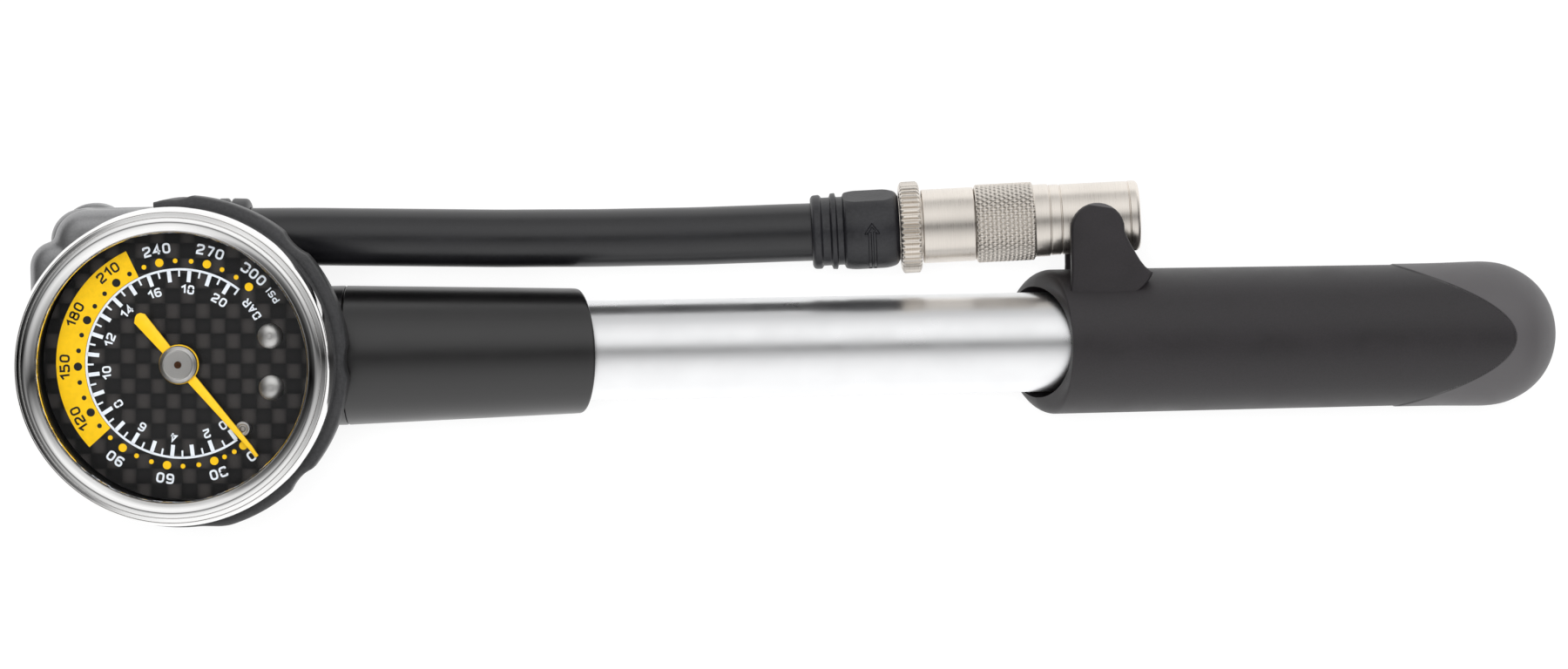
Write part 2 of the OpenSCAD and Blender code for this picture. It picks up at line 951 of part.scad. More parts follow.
module piston_bumper() {
    color([0.05, 0.05, 0.05])
        on_axis(piston_x1)
            pipe(5.6, rod_r, bumper_t);
}

// ---- Hose ----

module swivel_head() {
    color([0.16, 0.16, 0.17])
        difference() {
            union() {
                translate([pivot[0], pivot[1], 0])
                    rotate_extrude()
                        polygon([
                            [0, head_z0], [head_r - 0.6, head_z0], [head_r, head_z0 + 0.6],
                            [head_r, head_z1 - 2.8], [head_r - 0.4, head_z1 - 1.5],
                            [head_r - 1.4, head_z1 - 0.5], [head_r - 2.8, head_z1], [0, head_z1]
                        ]);
                translate([pivot[0], pivot[1], axis_z])
                    rotate([0, 90, 0])
                        cylinder(r = head_r - 0.05, h = tail_x - pivot[0]);
            }
            translate([pivot[0], pivot[1], head_z0 - 1])
                cylinder(r = pin_r + running, h = pin_top_z - head_z0 + 1.3);
            translate([pivot[0], pivot[1], axis_z - 0.9])
                cylinder(r = pin_r + 0.7, h = 1.8);
            translate([pivot[0], pivot[1], axis_z])
                rotate([0, 90, 0])
                    cylinder(r = hose_bore_r, h = 20);
        }
}

module hose_tail_boot() {
    color([0.06, 0.06, 0.06])
        translate([tail_x, hose_route[0][1], axis_z])
            rotate([0, 90, 0])
                rotate_extrude()
                    polygon([
                        [hose_r, 0], [5.1, 0], [5.7, 0.5], [5.9, 1.4], [5.9, 8.4], [5.3, 8.9],
                        [4.9, 9], [4.9, 9.3], [5.5, 9.4], [5.5, 10.3], [4.8, 10.5], [4.8, 11],
                        [5.4, 11.2], [5.4, 12.4], [4.9, 13], [hose_r, 13]
                    ]);
}

module hose_tail_barb() {
    color([0.8, 0.68, 0.4])
        translate([tail_x - 4, hose_route[0][1], axis_z])
            rotate([0, 90, 0])
                pipe(hose_bore_r, 0.9, 12);
}

module hose() {
    last = len(hose_route) - 1;
    n = hose_sides;
    outer = [for (i = [0:last]) ring_at(hose_route[i], heading(hose_route, i), hose_r, n)];
    inner = [for (i = [0:last]) ring_at(hose_route[i], heading(hose_route, i), hose_bore_r, n)];
    rings = [for (i = [0:last]) concat(outer[i], inner[i])];
    m = 2 * n;
    walls = [
        for (k = [0:last - 1]) for (i = [0:n - 1]) let (j = (i + 1) % n) each [
            [k * m + j, k * m + i, (k + 1) * m + i, (k + 1) * m + j],
            [k * m + n + i, k * m + n + j, (k + 1) * m + n + j, (k + 1) * m + n + i]
        ]
    ];
    ends = [
        for (i = [0:n - 1]) let (j = (i + 1) % n, e = last * m) each [
            [i, j, n + j, n + i],
            [e + j, e + i, e + n + i, e + n + j]
        ]
    ];
    color([0.05, 0.05, 0.05])
        translate([0, 0, axis_z])
            polyhedron(points = flat_list(rings), faces = concat(walls, ends), convexity = 6);
}

// ---- Chuck ----

module chuck_boot() {
    color([0.06, 0.06, 0.06])
        on_chuck(0)
            rotate_extrude()
                polygon([
                    [hose_r, 0], [5, 0], [5.43, 0.3], [5.43, 1.5], [5, 1.8], [5, 2.8],
                    [5.6, 3], [5.6, 3.6], [5.05, 3.8], [5.05, 4.7], [5.6, 5], [5.75, 6],
                    [5.75, 11.6], [5.5, 12.6], [5, boot_end], [neck_r, boot_end],
                    [neck_r, body_u0], [hose_r, body_u0]
                ]);
}

module chuck_barb() {
    color([0.8, 0.68, 0.4])
        on_chuck(1)
            pipe(hose_bore_r, 0.9, depressor_u0 - 1.3);
}

module chuck_body() {
    color([0.78, 0.75, 0.7])
        on_chuck(0)
            difference() {
                rotate_extrude()
                    polygon([
                        [0, body_u0], [neck_r, body_u0], [neck_r, body_shoulder_u],
                        [body_r, body_shoulder_u], [body_r, body_end_u],
                        [spindle_r, body_end_u], [spindle_r, spindle_end_u], [0, spindle_end_u]
                    ]);
                translate([0, 0, body_u0 - 1])
                    cylinder(r = hose_bore_r, h = depressor_u0 - body_u0 + 0.9);
                translate([0, 0, body_u0])
                    cylinder(r = depressor_r + running, h = 12);
                translate([0, 0, 20])
                    cylinder(r = spindle_bore_r, h = 20);
                for (u = depressor_seal_us)
                    translate([0, 0, u - 0.35])
                        cylinder(r = depressor_r + 0.64, h = 0.7);
                translate([-peg_reach, -peg_r - 0.1, peg_u - peg_r - 0.1])
                    cube([2 * peg_reach, 2 * peg_r + 0.2, 2 * peg_r + depressor_travel + 0.2]);
                translate([0, 0, clip_u])
                    pipe(6, spindle_r - 0.4, 0.8);
                translate([0, 0, spindle_seal_u - 0.35])
                    pipe(6, spindle_r - 0.58, 0.7);
            }
}

module spindle_seal() {
    color([0.05, 0.05, 0.05])
        on_chuck(spindle_seal_u)
            seal_ring(spindle_r - 0.28, 0.3);
}

module collar_clip() {
    color([0.7, 0.7, 0.72])
        on_chuck(clip_u)
            pipe(spindle_r + 0.5, spindle_r - 0.4, 0.8);
}

// The knurled collar and the nose with the valve port turn together
module chuck_collar() {
    color([0.78, 0.75, 0.7])
        on_chuck(0)
            difference() {
                rotate_extrude()
                    polygon([
                        [0, collar_u0], [5.4, collar_u0], [knurl_r, collar_u0 + 0.3],
                        [knurl_r, knurl_u1 - 0.3], [5.27, knurl_u1], [5.27, band_u - 0.1],
                        [5, band_u], [5.14, band_u + 0.1], [5.14, nose_u - 0.1], [5, nose_u],
                        [nose_r, nose_u + 0.1], [nose_r, nose_line_u - 0.1], [5, nose_line_u],
                        [nose_r, nose_line_u + 0.1], [nose_r, nose_end_u - 0.5],
                        [nose_r - 0.5, nose_end_u], [0, nose_end_u]
                    ]);
                translate([0, 0, collar_u0 - 1])
                    cylinder(r = spindle_r + running, h = web_u0 - collar_u0 + 1);
                translate([0, 0, clip_u - 0.1])
                    cylinder(r = spindle_r + 0.6, h = 1);
                translate([0, 0, web_u0 - 1])
                    cylinder(r = depressor_r + 0.4, h = 4);
                translate([0, 0, web_u1])
                    cylinder(r = seal_pocket_r, h = 4);
                translate([0, 0, port_u])
                    cylinder(r = port_r, h = 20);
            }
}

module valve_seal() {
    color([0.05, 0.05, 0.05])
        on_chuck(web_u1)
            pipe(seal_pocket_r, depressor_r + 0.4, port_u - web_u1);
}

// The ring's teeth are cut round its rim; the pegs of the depressor pin run in its groove
module lock_ring() {
    color([0.8, 0.78, 0.72])
        on_chuck(ring_u0)
            difference() {
                linear_extrude(ring_u1 - ring_u0)
                    polygon([
                        for (i = [0:2 * ring_teeth - 1])
                            polar(ring_r - (i % 2) * 0.55, 180 * i / ring_teeth)
                    ]);
                translate([0, 0, -1])
                    cylinder(r = neck_r + running, h = 10);
                translate([0, 0, peg_u - peg_r - 0.1 - ring_u0])
                    cylinder(r = peg_reach + 0.1, h = 2 * peg_r + depressor_travel + 0.2);
            }
}

module depressor_pin() {
    color([0.82, 0.72, 0.45])
        on_chuck(0) {
            difference() {
                translate([0, 0, depressor_u0])
                    cylinder(r = depressor_r, h = depressor_tip_u - depressor_u0);
                translate([0, 0, depressor_u0 - 1])
                    cylinder(r = 0.7, h = 12);
                translate([-3, 0, depressor_u0 + 10])
                    rotate([0, 90, 0])
                        cylinder(r = 0.5, h = 6);
            }
            for (side = [1, -1])
                translate([side * 1, 0, peg_u])
                    rotate([0, 90 * side, 0])
                        cylinder(r = peg_r, h = peg_reach - 1);
        }
}

module depressor_seals() {
    color([0.05, 0.05, 0.05])
        for (u = depressor_seal_us)
            on_chuck(u)
                seal_ring(depressor_r + 0.33, 0.31);
}

base_body();
neck_sleeve();
barrel();
barrel_seal();
rod_guide();
rod_wiper();
rest_pad();
swivel_pin();
swivel_seals();
check_valve_seat();
check_valve_ball();
check_valve_spring();
bleed_button();
bleed_seal();
bleed_spring();
gauge_case();
case_screws();
gauge_guard();
bezel_ring();
lens();
lens_gasket();
dial_plate();
dial_rivets();
stop_pin();
gauge_socket();
gauge_seal();
bourdon_tube();
movement_frame();
sector_gear();
movement_link();
hairspring();
pointer_arbor();
pointer();
pointer_cap();
handle_grip();
hose_clip();
rod_anchor();
anchor_pin();
pump_rod();
piston_head();
piston_seal();
piston_bumper();
swivel_head();
hose_tail_boot();
hose_tail_barb();
hose();
chuck_boot();
chuck_barb();
chuck_body();
collar_clip();
spindle_seal();
chuck_collar();
valve_seal();
lock_ring();
depressor_pin();
depressor_seals();
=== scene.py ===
import json
import math

import bpy
from mathutils import Matrix, Vector


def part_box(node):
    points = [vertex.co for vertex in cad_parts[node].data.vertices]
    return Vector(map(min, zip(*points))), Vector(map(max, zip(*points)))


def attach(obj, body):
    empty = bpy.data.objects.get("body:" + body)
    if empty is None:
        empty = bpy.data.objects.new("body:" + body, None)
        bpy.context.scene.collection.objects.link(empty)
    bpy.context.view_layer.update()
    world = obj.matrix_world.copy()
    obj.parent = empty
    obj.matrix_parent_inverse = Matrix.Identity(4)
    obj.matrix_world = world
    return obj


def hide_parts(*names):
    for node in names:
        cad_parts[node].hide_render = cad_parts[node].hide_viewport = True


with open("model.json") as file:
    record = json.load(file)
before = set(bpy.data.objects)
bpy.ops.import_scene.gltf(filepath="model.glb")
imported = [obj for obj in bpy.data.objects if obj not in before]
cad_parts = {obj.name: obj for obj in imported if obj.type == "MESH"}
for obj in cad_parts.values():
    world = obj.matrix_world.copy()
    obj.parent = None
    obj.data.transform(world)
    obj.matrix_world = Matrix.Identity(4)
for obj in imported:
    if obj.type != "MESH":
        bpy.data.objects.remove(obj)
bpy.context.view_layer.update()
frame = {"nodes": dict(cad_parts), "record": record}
MM = 0.001
TAU = 2 * math.pi


# ---- sizes, in millimetres

def low(node):
    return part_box(node)[0] / MM


def high(node):
    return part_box(node)[1] / MM


AXIS_Z = (low("barrel").z + high("barrel").z) / 2
BARREL_R = (high("barrel").z - low("barrel").z) / 2
BEZEL_R = high("bezel_ring").x
BEZEL_Z0, BEZEL_Z1 = low("bezel_ring").z, high("bezel_ring").z
LENS_Z1 = high("lens").z
WINDOW_R = 18.95
CASE_R = high("gauge_case").x
GUARD_R = 24.1
GUARD_Z0, GUARD_Z1 = low("gauge_guard").z, high("gauge_guard").z
DIAL_Z = high("dial_plate").z
GRIP_R = (high("handle_grip").z - low("handle_grip").z) / 2
GRIP_X1 = high("handle_grip").x
GRIP_BORE_R = 8.1
MOUTH_X, END_X, DOME_X = 126, 172.0, 187.0
CREASE_TIP, CREASE_LEN = 191.35, 16.4
SLEEVE_X0 = low("neck_sleeve").x
HOSE_R = 4.2
CHUCK_TILT = math.radians(1.9)
CHUCK_START = Vector((90, 16.6, AXIS_Z))
CHUCK = Matrix.Translation(CHUCK_START) @ Matrix.Rotation(CHUCK_TILT, 4, "Z")

# The hose's route in metres, as the CAD has it
HOSE_ROUTE = [
    (-0.004, 0.0176), (0.003, 0.0176), (0.010, 0.0175), (0.017, 0.0174),
    (0.024, 0.0172), (0.031, 0.0170), (0.038, 0.0168), (0.045, 0.0166),
    (0.052, 0.0165), (0.059, 0.0164), (0.066, 0.0164), (0.073, 0.0164),
    (0.080, 0.0165), (0.086, 0.0166), (0.092, 0.0167), (0.100, 0.01695),
]


# ---- camera

def make_camera():
    tilt, roll = math.radians(3.3), math.radians(1.1)
    target = Vector((86.2, 1.8, AXIS_Z)) * MM
    distance = 0.6
    back = Vector((0, math.sin(tilt), math.cos(tilt)))
    right = Vector((math.cos(roll), -math.sin(roll), 0))
    right = (right - right.dot(back) * back).normalized()
    up = back.cross(right)
    data = bpy.data.cameras.new("camera")
    data.sensor_width = 36
    data.lens = 94.5
    data.clip_start = 0.01
    camera = bpy.data.objects.new("camera", data)
    turn = Matrix((right, up, back)).transposed().to_4x4()
    camera.matrix_world = Matrix.Translation(target + back * distance) @ turn
    bpy.context.scene.collection.objects.link(camera)
    bpy.context.scene.camera = camera


make_camera()


# ---- materials

class Nodes:
    """Short ways to add nodes to one tree."""

    def __init__(self, tree):
        self.tree = tree

    def link(self, output, socket):
        self.tree.links.new(output, socket)

    def node(self, kind, **values):
        made = self.tree.nodes.new(kind)
        for key, value in values.items():
            setattr(made, key, value)
        return made

    def parts(self, vector):
        """A vector's X, Y and Z."""
        split = self.node("ShaderNodeSeparateXYZ")
        self.link(vector, split.inputs[0])
        return list(split.outputs)

    def math(self, operation, *values):
        made = self.node("ShaderNodeMath", operation=operation)
        for socket, value in zip(made.inputs, values):
            if isinstance(value, (int, float)):
                socket.default_value = value
            else:
                self.link(value, socket)
        return made.outputs[0]

    def add(self, a, b):
        return self.math("ADD", a, b)

    def times(self, a, b):
        return self.math("MULTIPLY", a, b)

    def ramp(self, factor, stops):
        """Maps a factor to colours or, with numbers for stops, to greys."""
        made = self.node("ShaderNodeValToRGB")
        points = made.color_ramp.elements
        while len(points) < len(stops):
            points.new(0.5)
        for point, (at, value) in zip(points, stops):
            point.position = at
            point.color = (*value, 1) if isinstance(value, tuple) else (value, value, value, 1)
        self.link(factor, made.inputs["Fac"])
        return made.outputs["Color"]

    def mix(self, factor, a, b, blend="MIX"):
        made = self.node("ShaderNodeMix", data_type="RGBA", blend_type=blend)
        for socket, value in ((made.inputs[0], factor), (made.inputs[6], a), (made.inputs[7], b)):
            if isinstance(value, (int, float)):
                socket.default_value = value
            elif isinstance(value, tuple):
                socket.default_value = (*value, 1)
            else:
                self.link(value, socket)
        return made.outputs[2]


class Paint(Nodes):
    """A procedural material: a Principled shader and the nodes that feed it."""

    def __init__(self, name, colour, rough, metal=0.0, coat=0.0, coat_rough=0.1, specular=0.5):
        self.mat = bpy.data.materials.new(name)
        self.mat.use_nodes = True
        self.mat.diffuse_color = (*colour, 1)
        super().__init__(self.mat.node_tree)
        self.shader = self.tree.nodes["Principled BSDF"]
        self.set("Base Color", (*colour, 1))
        self.set("Roughness", rough)
        self.set("Metallic", metal)
        self.set("Coat Weight", coat)
        self.set("Coat Roughness", coat_rough)
        self.set("Specular IOR Level", specular)

    def set(self, socket, value):
        self.shader.inputs[socket].default_value = value

    def feed(self, output, socket):
        self.link(output, self.shader.inputs[socket])

    def place(self, stretch=(1, 1, 1), turn=(0, 0, 0)):
        """Object coordinates in millimetres, stretched by the factors given."""
        where = self.node("ShaderNodeTexCoord")
        mapping = self.node("ShaderNodeMapping")
        mapping.inputs["Scale"].default_value = [s / MM for s in stretch]
        mapping.inputs["Rotation"].default_value = turn
        self.link(where.outputs["Object"], mapping.inputs["Vector"])
        return mapping.outputs["Vector"]

    def noise(self, place, scale=1.0, detail=3.0, rough=0.5):
        made = self.node("ShaderNodeTexNoise")
        made.inputs["Scale"].default_value = scale
        made.inputs["Detail"].default_value = detail
        made.inputs["Roughness"].default_value = rough
        self.link(place, made.inputs["Vector"])
        return made.outputs["Fac"]

    def bump(self, height, strength=0.3, distance=0.05):
        """Adds a bump on top of the ones before it; distance is in millimetres."""
        made = self.node("ShaderNodeBump")
        made.inputs["Strength"].default_value = strength
        made.inputs["Distance"].default_value = distance * MM
        self.link(height, made.inputs["Height"])
        before = self.shader.inputs["Normal"].links
        if before:
            self.link(before[0].from_socket, made.inputs["Normal"])
        self.feed(made.outputs["Normal"], "Normal")


def grained(name, dark, light, rough, grain=3.0, depth=0.02, strength=0.4, blotch=0.15, **more):
    """Moulded or coated black: fine grain, slow colour change and slightly uneven gloss."""
    p = Paint(name, light, sum(rough) / 2, **more)
    place = p.place()
    fine = p.noise(place, grain, 3, 0.6)
    slow = p.noise(place, blotch, 4, 0.6)
    both = p.times(p.add(fine, slow), 0.5)
    p.feed(p.ramp(both, [(0.35, dark), (0.65, light)]), "Base Color")
    p.feed(p.ramp(slow, [(0.3, rough[0]), (0.7, rough[1])]), "Roughness")
    p.bump(fine, strength, depth)
    return p


def turned_metal(name, colour, rough, stretch, depth=0.006, strength=0.25, grain=2.5):
    """Metal with fine lines along one direction and a light grain."""
    p = Paint(name, colour, rough, 1.0)
    lines = p.noise(p.place(stretch), 1.0, 4, 0.65)
    slow = p.noise(p.place(), 0.12, 3, 0.5)
    fine = p.noise(p.place(), grain, 2, 0.6)
    shade = tuple(c * 0.86 for c in colour)
    both = p.times(p.add(lines, slow), 0.5)
    p.feed(p.ramp(both, [(0.35, shade), (0.62, colour)]), "Base Color")
    p.feed(p.ramp(lines, [(0.3, rough * 0.85), (0.75, min(1.0, rough * 1.25))]), "Roughness")
    p.bump(lines, strength, depth)
    p.bump(fine, strength * 0.6, depth)
    return p


def ringed_metal(name, colour, rough):
    """Metal faced on a lathe about the gauge's axis: fine rings and a satin finish."""
    p = Paint(name, colour, rough, 1.0)
    x, y = p.parts(p.place())[:2]
    radius = p.math("SQRT", p.add(p.times(x, x), p.times(y, y)))
    rings = p.math("SINE", p.times(radius, 30.0))
    shade = tuple(c * 0.82 for c in colour)
    level = p.add(0.5, p.times(rings, 0.5))
    p.feed(p.ramp(level, [(0.2, shade), (0.8, colour)]), "Base Color")
    p.bump(level, 0.15, 0.01)
    return p


def polished(name, colour, rough):
    """Plated or polished metal: only its gloss changes, slowly, from place to place."""
    p = Paint(name, colour, rough, 1.0)
    slow = p.noise(p.place(), 0.2, 2)
    p.feed(p.ramp(slow, [(0.3, rough), (0.7, rough * 1.25)]), "Roughness")
    p.feed(p.ramp(slow, [(0.3, colour), (0.7, tuple(c * 0.98 for c in colour))]), "Base Color")
    return p


def carbon_weave():
    """Checkered carbon cloth under print: tows run along X in one cell and along Y in the next, each with a
    painted highlight along its middle.
    """
    cell = 2.15
    p = Paint("dial_carbon", (0.03, 0.03, 0.03), 0.42, coat=0.2, coat_rough=0.12, specular=0.35)
    place = p.place((1 / cell, 1 / cell, 1 / cell), (0, 0, math.radians(1.1)))
    x, y = p.parts(place)[:2]
    odd = p.math("PINGPONG", p.add(p.math("FLOOR", x), p.math("FLOOR", y)), 1.0)
    fx, fy = p.math("FRACT", x), p.math("FRACT", y)

    def tow(along, across, fibres):
        # Painted highlight: each tow is lighter at its middle along its length, where it arches, and darker
        # towards its ends
        painted_tow_highlight = p.math("SINE", p.times(along, math.pi))
        edge = p.math("POWER", p.math("SINE", p.times(across, math.pi)), 0.4)
        return p.times(p.times(painted_tow_highlight, edge), p.add(0.55, p.times(fibres, 0.9)))

    flat = tow(fx, fy, p.noise(p.place((0.4, 9, 9)), 1.0, 2))
    upright = tow(fy, fx, p.noise(p.place((9, 0.4, 9)), 1.0, 2))
    pale = p.ramp(flat, [(0.0, (0.009, 0.0085, 0.008)), (0.8, (0.033, 0.029, 0.0275))])
    deep = p.ramp(upright, [(0.0, (0.003, 0.003, 0.003)), (0.9, (0.0075, 0.007, 0.007))])
    p.feed(p.mix(odd, pale, deep), "Base Color")
    p.bump(p.add(p.times(flat, 0.5), p.times(upright, 0.5)), 0.35, 0.05)
    return p


def printed(name, colour, rough=0.4):
    """Printing ink: an even colour that is a little thin in places."""
    p = Paint(name, colour, rough)
    thin = p.noise(p.place(), 1.3, 4, 0.6)
    p.feed(p.ramp(thin, [(0.25, tuple(c * 0.88 for c in colour)), (0.6, colour)]), "Base Color")
    p.bump(p.noise(p.place(), 6.0, 2), 0.1, 0.01)
    return p


def clear_glass():
    """Thin clear glass: light passes straight through, and its gloss grows at grazing angles."""
    p = Paint("clear_glass", (0.95, 0.96, 0.97), 0.02)
    through = p.node("ShaderNodeBsdfTransparent")
    through.inputs[0].default_value = (0.97, 0.975, 0.98, 1)
    gloss = p.node("ShaderNodeBsdfGlossy")
    gloss.inputs["Roughness"].default_value = 0.02
    edge = p.node("ShaderNodeLayerWeight")
    edge.inputs["Blend"].default_value = 0.5
    grazing = p.add(0.008, p.math("POWER", edge.outputs["Facing"], 5.0))
    smear = p.noise(p.place(), 0.12, 3)
    blend = p.node("ShaderNodeMixShader")
    p.link(p.times(grazing, p.add(0.75, p.times(smear, 0.5))), blend.inputs[0])
    p.link(through.outputs[0], blend.inputs[1])
    p.link(gloss.outputs[0], blend.inputs[2])
    p.link(blend.outputs[0], p.tree.nodes["Material Output"].inputs["Surface"])
    return p


def bare_end(p):
    """The grip's domed shell, beyond the long pads, is painted paler: painted light for the light it catches
    from the sides.
    """
    x, y = p.parts(p.place())[:2]
    side = p.math("DIVIDE", p.math("ABSOLUTE", y), GRIP_R)
    edge = p.math("SUBTRACT", CREASE_TIP, p.times(p.math("POWER", side, 2.0), CREASE_LEN))
    beyond = p.times(p.math("SUBTRACT", x, edge), 3.0)
    painted_light_mask = p.ramp(p.add(beyond, 0.5), [(0.0, 0.0), (1.0, 1.0)])
    link = p.shader.inputs["Base Color"].links[0]
    # Painted light: beyond the crease the grip's grey is raised to a paler one, standing in for the light
    # from the sides
    p.feed(p.mix(painted_light_mask, link.from_socket, (0.072, 0.068, 0.071)), "Base Color")


ACROSS_X = (6.0, 0.25, 0.25)
paints = {
    "casting": grained("casting", (0.27, 0.27, 0.275), (0.35, 0.35, 0.355), (0.34, 0.42), 3.2, 0.025, 0.35,
                       metal=0.85),
    "sleeve": grained("sleeve", (0.0016, 0.0014, 0.0016), (0.0034, 0.003, 0.0034), (0.28, 0.34), 5.0,
                      0.004, 0.2, specular=0.85),
    "grip": grained("grip", (0.0085, 0.0072, 0.0082), (0.016, 0.0136, 0.0155), (0.42, 0.52), 4.2, 0.02, 0.45,
                    specular=0.6),
    "case": grained("case", (0.006, 0.006, 0.007), (0.012, 0.012, 0.013), (0.32, 0.45), 3.0, 0.01, 0.3,
                    specular=0.3),
    "boot": grained("boot", (0.006, 0.006, 0.0075), (0.016, 0.016, 0.019), (0.34, 0.46), 2.4, 0.05, 0.5,
                    specular=0.6),
    "guard": grained("guard", (0.014, 0.014, 0.015), (0.036, 0.036, 0.038), (0.4, 0.52), 2.6, 0.035, 0.5,
                     specular=0.6),
    "seal": grained("seal", (0.008, 0.008, 0.008), (0.016, 0.016, 0.017), (0.5, 0.6), 3.0, 0.01, 0.3,
                    specular=0.3),
    "hose": grained("hose", (0.003, 0.003, 0.0038), (0.006, 0.006, 0.0075), (0.3, 0.38), 2.0, 0.01, 0.2,
                    specular=0.75),
    "piston": grained("piston", (0.5, 0.5, 0.48), (0.62, 0.62, 0.6), (0.35, 0.45), 2.0, 0.01, 0.2),
    "aluminium": polished("aluminium", (0.94, 0.945, 0.955), 0.27),
    "nickel": turned_metal("nickel", (0.85, 0.795, 0.73), 0.3, ACROSS_X, 0.003, 0.15, 4.0),
    "steel": polished("steel", (0.9, 0.875, 0.84), 0.33),
    "hub": ringed_metal("hub", (0.88, 0.85, 0.81), 0.36),
    # Painted shade: brass darkened to a dark orange, for the arbor's place down in the hub cap's hole
    "painted_shade_brass": turned_metal("painted_shade_brass", (0.16, 0.07, 0.035), 0.3, (3, 3, 3), 0.001, 0.1),
    "brass": turned_metal("brass", (0.72, 0.53, 0.24), 0.28, (3, 3, 0.5)),
    "chrome": polished("chrome", (0.93, 0.925, 0.92), 0.07),
    "carbon": carbon_weave(),
    "print_white": printed("print_white", (0.8, 0.83, 0.87)),
    "print_yellow": printed("print_yellow", (0.93, 0.55, 0.004)),
    "print_dark": printed("print_dark", (0.01, 0.01, 0.01)),
    "pointer": printed("pointer_yellow", (0.95, 0.56, 0.01), 0.35),
    "glass": clear_glass(),
}
bare_end(paints["grip"])
CAD_PAINT = {
    "black_casting": "casting", "sleeve_black": "sleeve", "anodised_silver": "aluminium",
    "grip_plastic": "grip", "black_plastic": "case", "rubber_black": "seal",
    "guard_rubber": "guard", "hose_rubber": "hose", "chrome_bezel": "chrome",
    "nickel": "nickel", "steel": "steel", "brass": "brass", "piston_plastic": "piston",
    "dial_face": "carbon", "pointer_yellow": "pointer", "lens_clear": "glass",
}


def paint_cad_nodes():
    slots = {s["node"]: s["material_slot"] for s in frame["record"]["subparts"]}
    for name, node in frame["nodes"].items():
        for slot in node.material_slots:
            slot.material = paints[CAD_PAINT[slots[name]]].mat
    # The brass arbor gets the darkened brass: painted shade for the hole it stands in
    for slot in frame["nodes"]["pointer_arbor"].material_slots:
        slot.material = paints["painted_shade_brass"].mat


paint_cad_nodes()


# ---- mesh helpers

def add_piece(name, part, body, paint, sharp=35, replaces=None, smooth=True):
    """Makes a mesh from points in millimetres, shaded smooth except over sharp edges."""
    verts, faces = part
    mesh = bpy.data.meshes.new(name)
    mesh.from_pydata([tuple(c * MM for c in v) for v in verts], [], faces)
    mesh.materials.append(paints[paint].mat)
    mesh.validate()
    piece = bpy.data.objects.new(name, mesh)
    bpy.context.scene.collection.objects.link(piece)
    mesh.polygons.foreach_set("use_smooth", [smooth] * len(mesh.polygons))
    if smooth:
        mesh.set_sharp_from_angle(angle=math.radians(sharp))
    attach(piece, body)
    if replaces:
        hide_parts(replaces)
    return piece


def skin(rings, closed=False):
    """Quads between rings of points, with end caps, or joined end to end when closed."""
    n = len(rings[0])
    verts = [p for ring in rings for p in ring]
    faces = []
    for k in range(len(rings) if closed else len(rings) - 1):
        a, b = k * n, (k + 1) % len(rings) * n
        faces += [(a + i, a + (i + 1) % n, b + (i + 1) % n, b + i) for i in range(n)]
    if not closed:
        faces.append(tuple(range(n - 1, -1, -1)))
        faces.append(tuple((len(rings) - 1) * n + i for i in range(n)))
    return verts, faces


def merged(*parts):
    verts, faces = [], []
    for part_verts, part_faces in parts:
        start = len(verts)
        verts += part_verts
        faces += [tuple(i + start for i in face) for face in part_faces]
    return verts, faces


def moved(part, matrix):
    return [matrix @ Vector(v) for v in part[0]], part[1]


def flipped(part):
    return part[0], [f[::-1] for f in part[1]]


def shift(x=0, y=0, z=0):
    return Matrix.Translation(Vector((x, y, z)))


def turned(degrees):
    return Matrix.Rotation(math.radians(degrees), 4, "Z")


def rounded(points, radii, steps=4):
    """Rounds the corners of an open outline; radii has one entry a point, 0 to keep it."""
    out = []
    for i, (p, r) in enumerate(zip(points, radii)):
        if r == 0 or i in (0, len(points) - 1):
            out.append(tuple(p))
            continue
        p = Vector(p)
        before, after = Vector(points[i - 1]) - p, Vector(points[i + 1]) - p
        cut = min(r, before.length * 0.49, after.length * 0.49)
        a, b = p + before.normalized() * cut, p + after.normalized() * cut
        for k in range(steps + 1):
            t = k / steps
            out.append(tuple(a * (1 - t) ** 2 + p * 2 * t * (1 - t) + b * t ** 2))
    return out


def densified(profile, step, land=None):
    """Cuts an outline's long steps into short ones: all, or those on a land (from, to, least radius)."""
    dense = []
    for (u0, r0), (u1, r1) in zip(profile, profile[1:]):
        chosen = land is None or (u0 >= land[0] and u1 <= land[1] and r0 > land[2])
        n = max(1, int(abs(u1 - u0) / step)) if chosen else 1
        dense += [(u0 + (u1 - u0) * k / n, r0 + (r1 - r0) * k / n) for k in range(n)]
    return dense + [profile[-1]]


def lathe(profile, sides, matrix=Matrix(), shape=None, axis="X"):
    """Turns a closed outline of (along, radius); shape(along, angle, radius) may vary the radius."""
    rings = []
    for u, r in profile:
        ring = []
        for i in range(sides):
            a = TAU * i / sides
            radius = shape(u, a, r) if shape else r
            y, z = radius * math.cos(a), radius * math.sin(a)
            ring.append((u, y, z) if axis == "X" else (y, z, u))
        rings.append(ring)
    verts, faces = skin(rings, closed=True)
    if axis == "X":
        faces = [(a, d, c, b) for a, b, c, d in faces]
    else:
        faces = [(b, c, d, a) for a, b, c, d in faces]
    return moved((verts, faces), matrix)


def about_axis(rings):
    """Places rings of (x, radius, angle from the top) round the pump's axis."""
    return [[(x, r * math.sin(a), AXIS_Z + r * math.cos(a)) for x, r, a in ring] for ring in rings]


def inset_ring(outline, inset, z):
    """A closed outline at one height, moved inward."""
    ring = []
    for i, (x, y) in enumerate(outline):
        t = (Vector(outline[(i + 1) % len(outline)]) - Vector(outline[i - 1])).normalized()
        ring.append((x - t.y * inset, y + t.x * inset, z))
    return ring


def flat_shape(outline, z0, z1, bevel=0.0):
    """A plate with the outline given, and a small bevel round its top."""
    levels = [(z0, 0.0), (z1 - bevel, 0.0)]
    if bevel:
        levels += [(z1 - bevel * 0.3, bevel * 0.3), (z1, bevel)]
    return skin([inset_ring(outline, inset, z) for z, inset in levels])


def polar(r, degrees):
    a = math.radians(degrees)
    return (r * math.cos(a), r * math.sin(a))


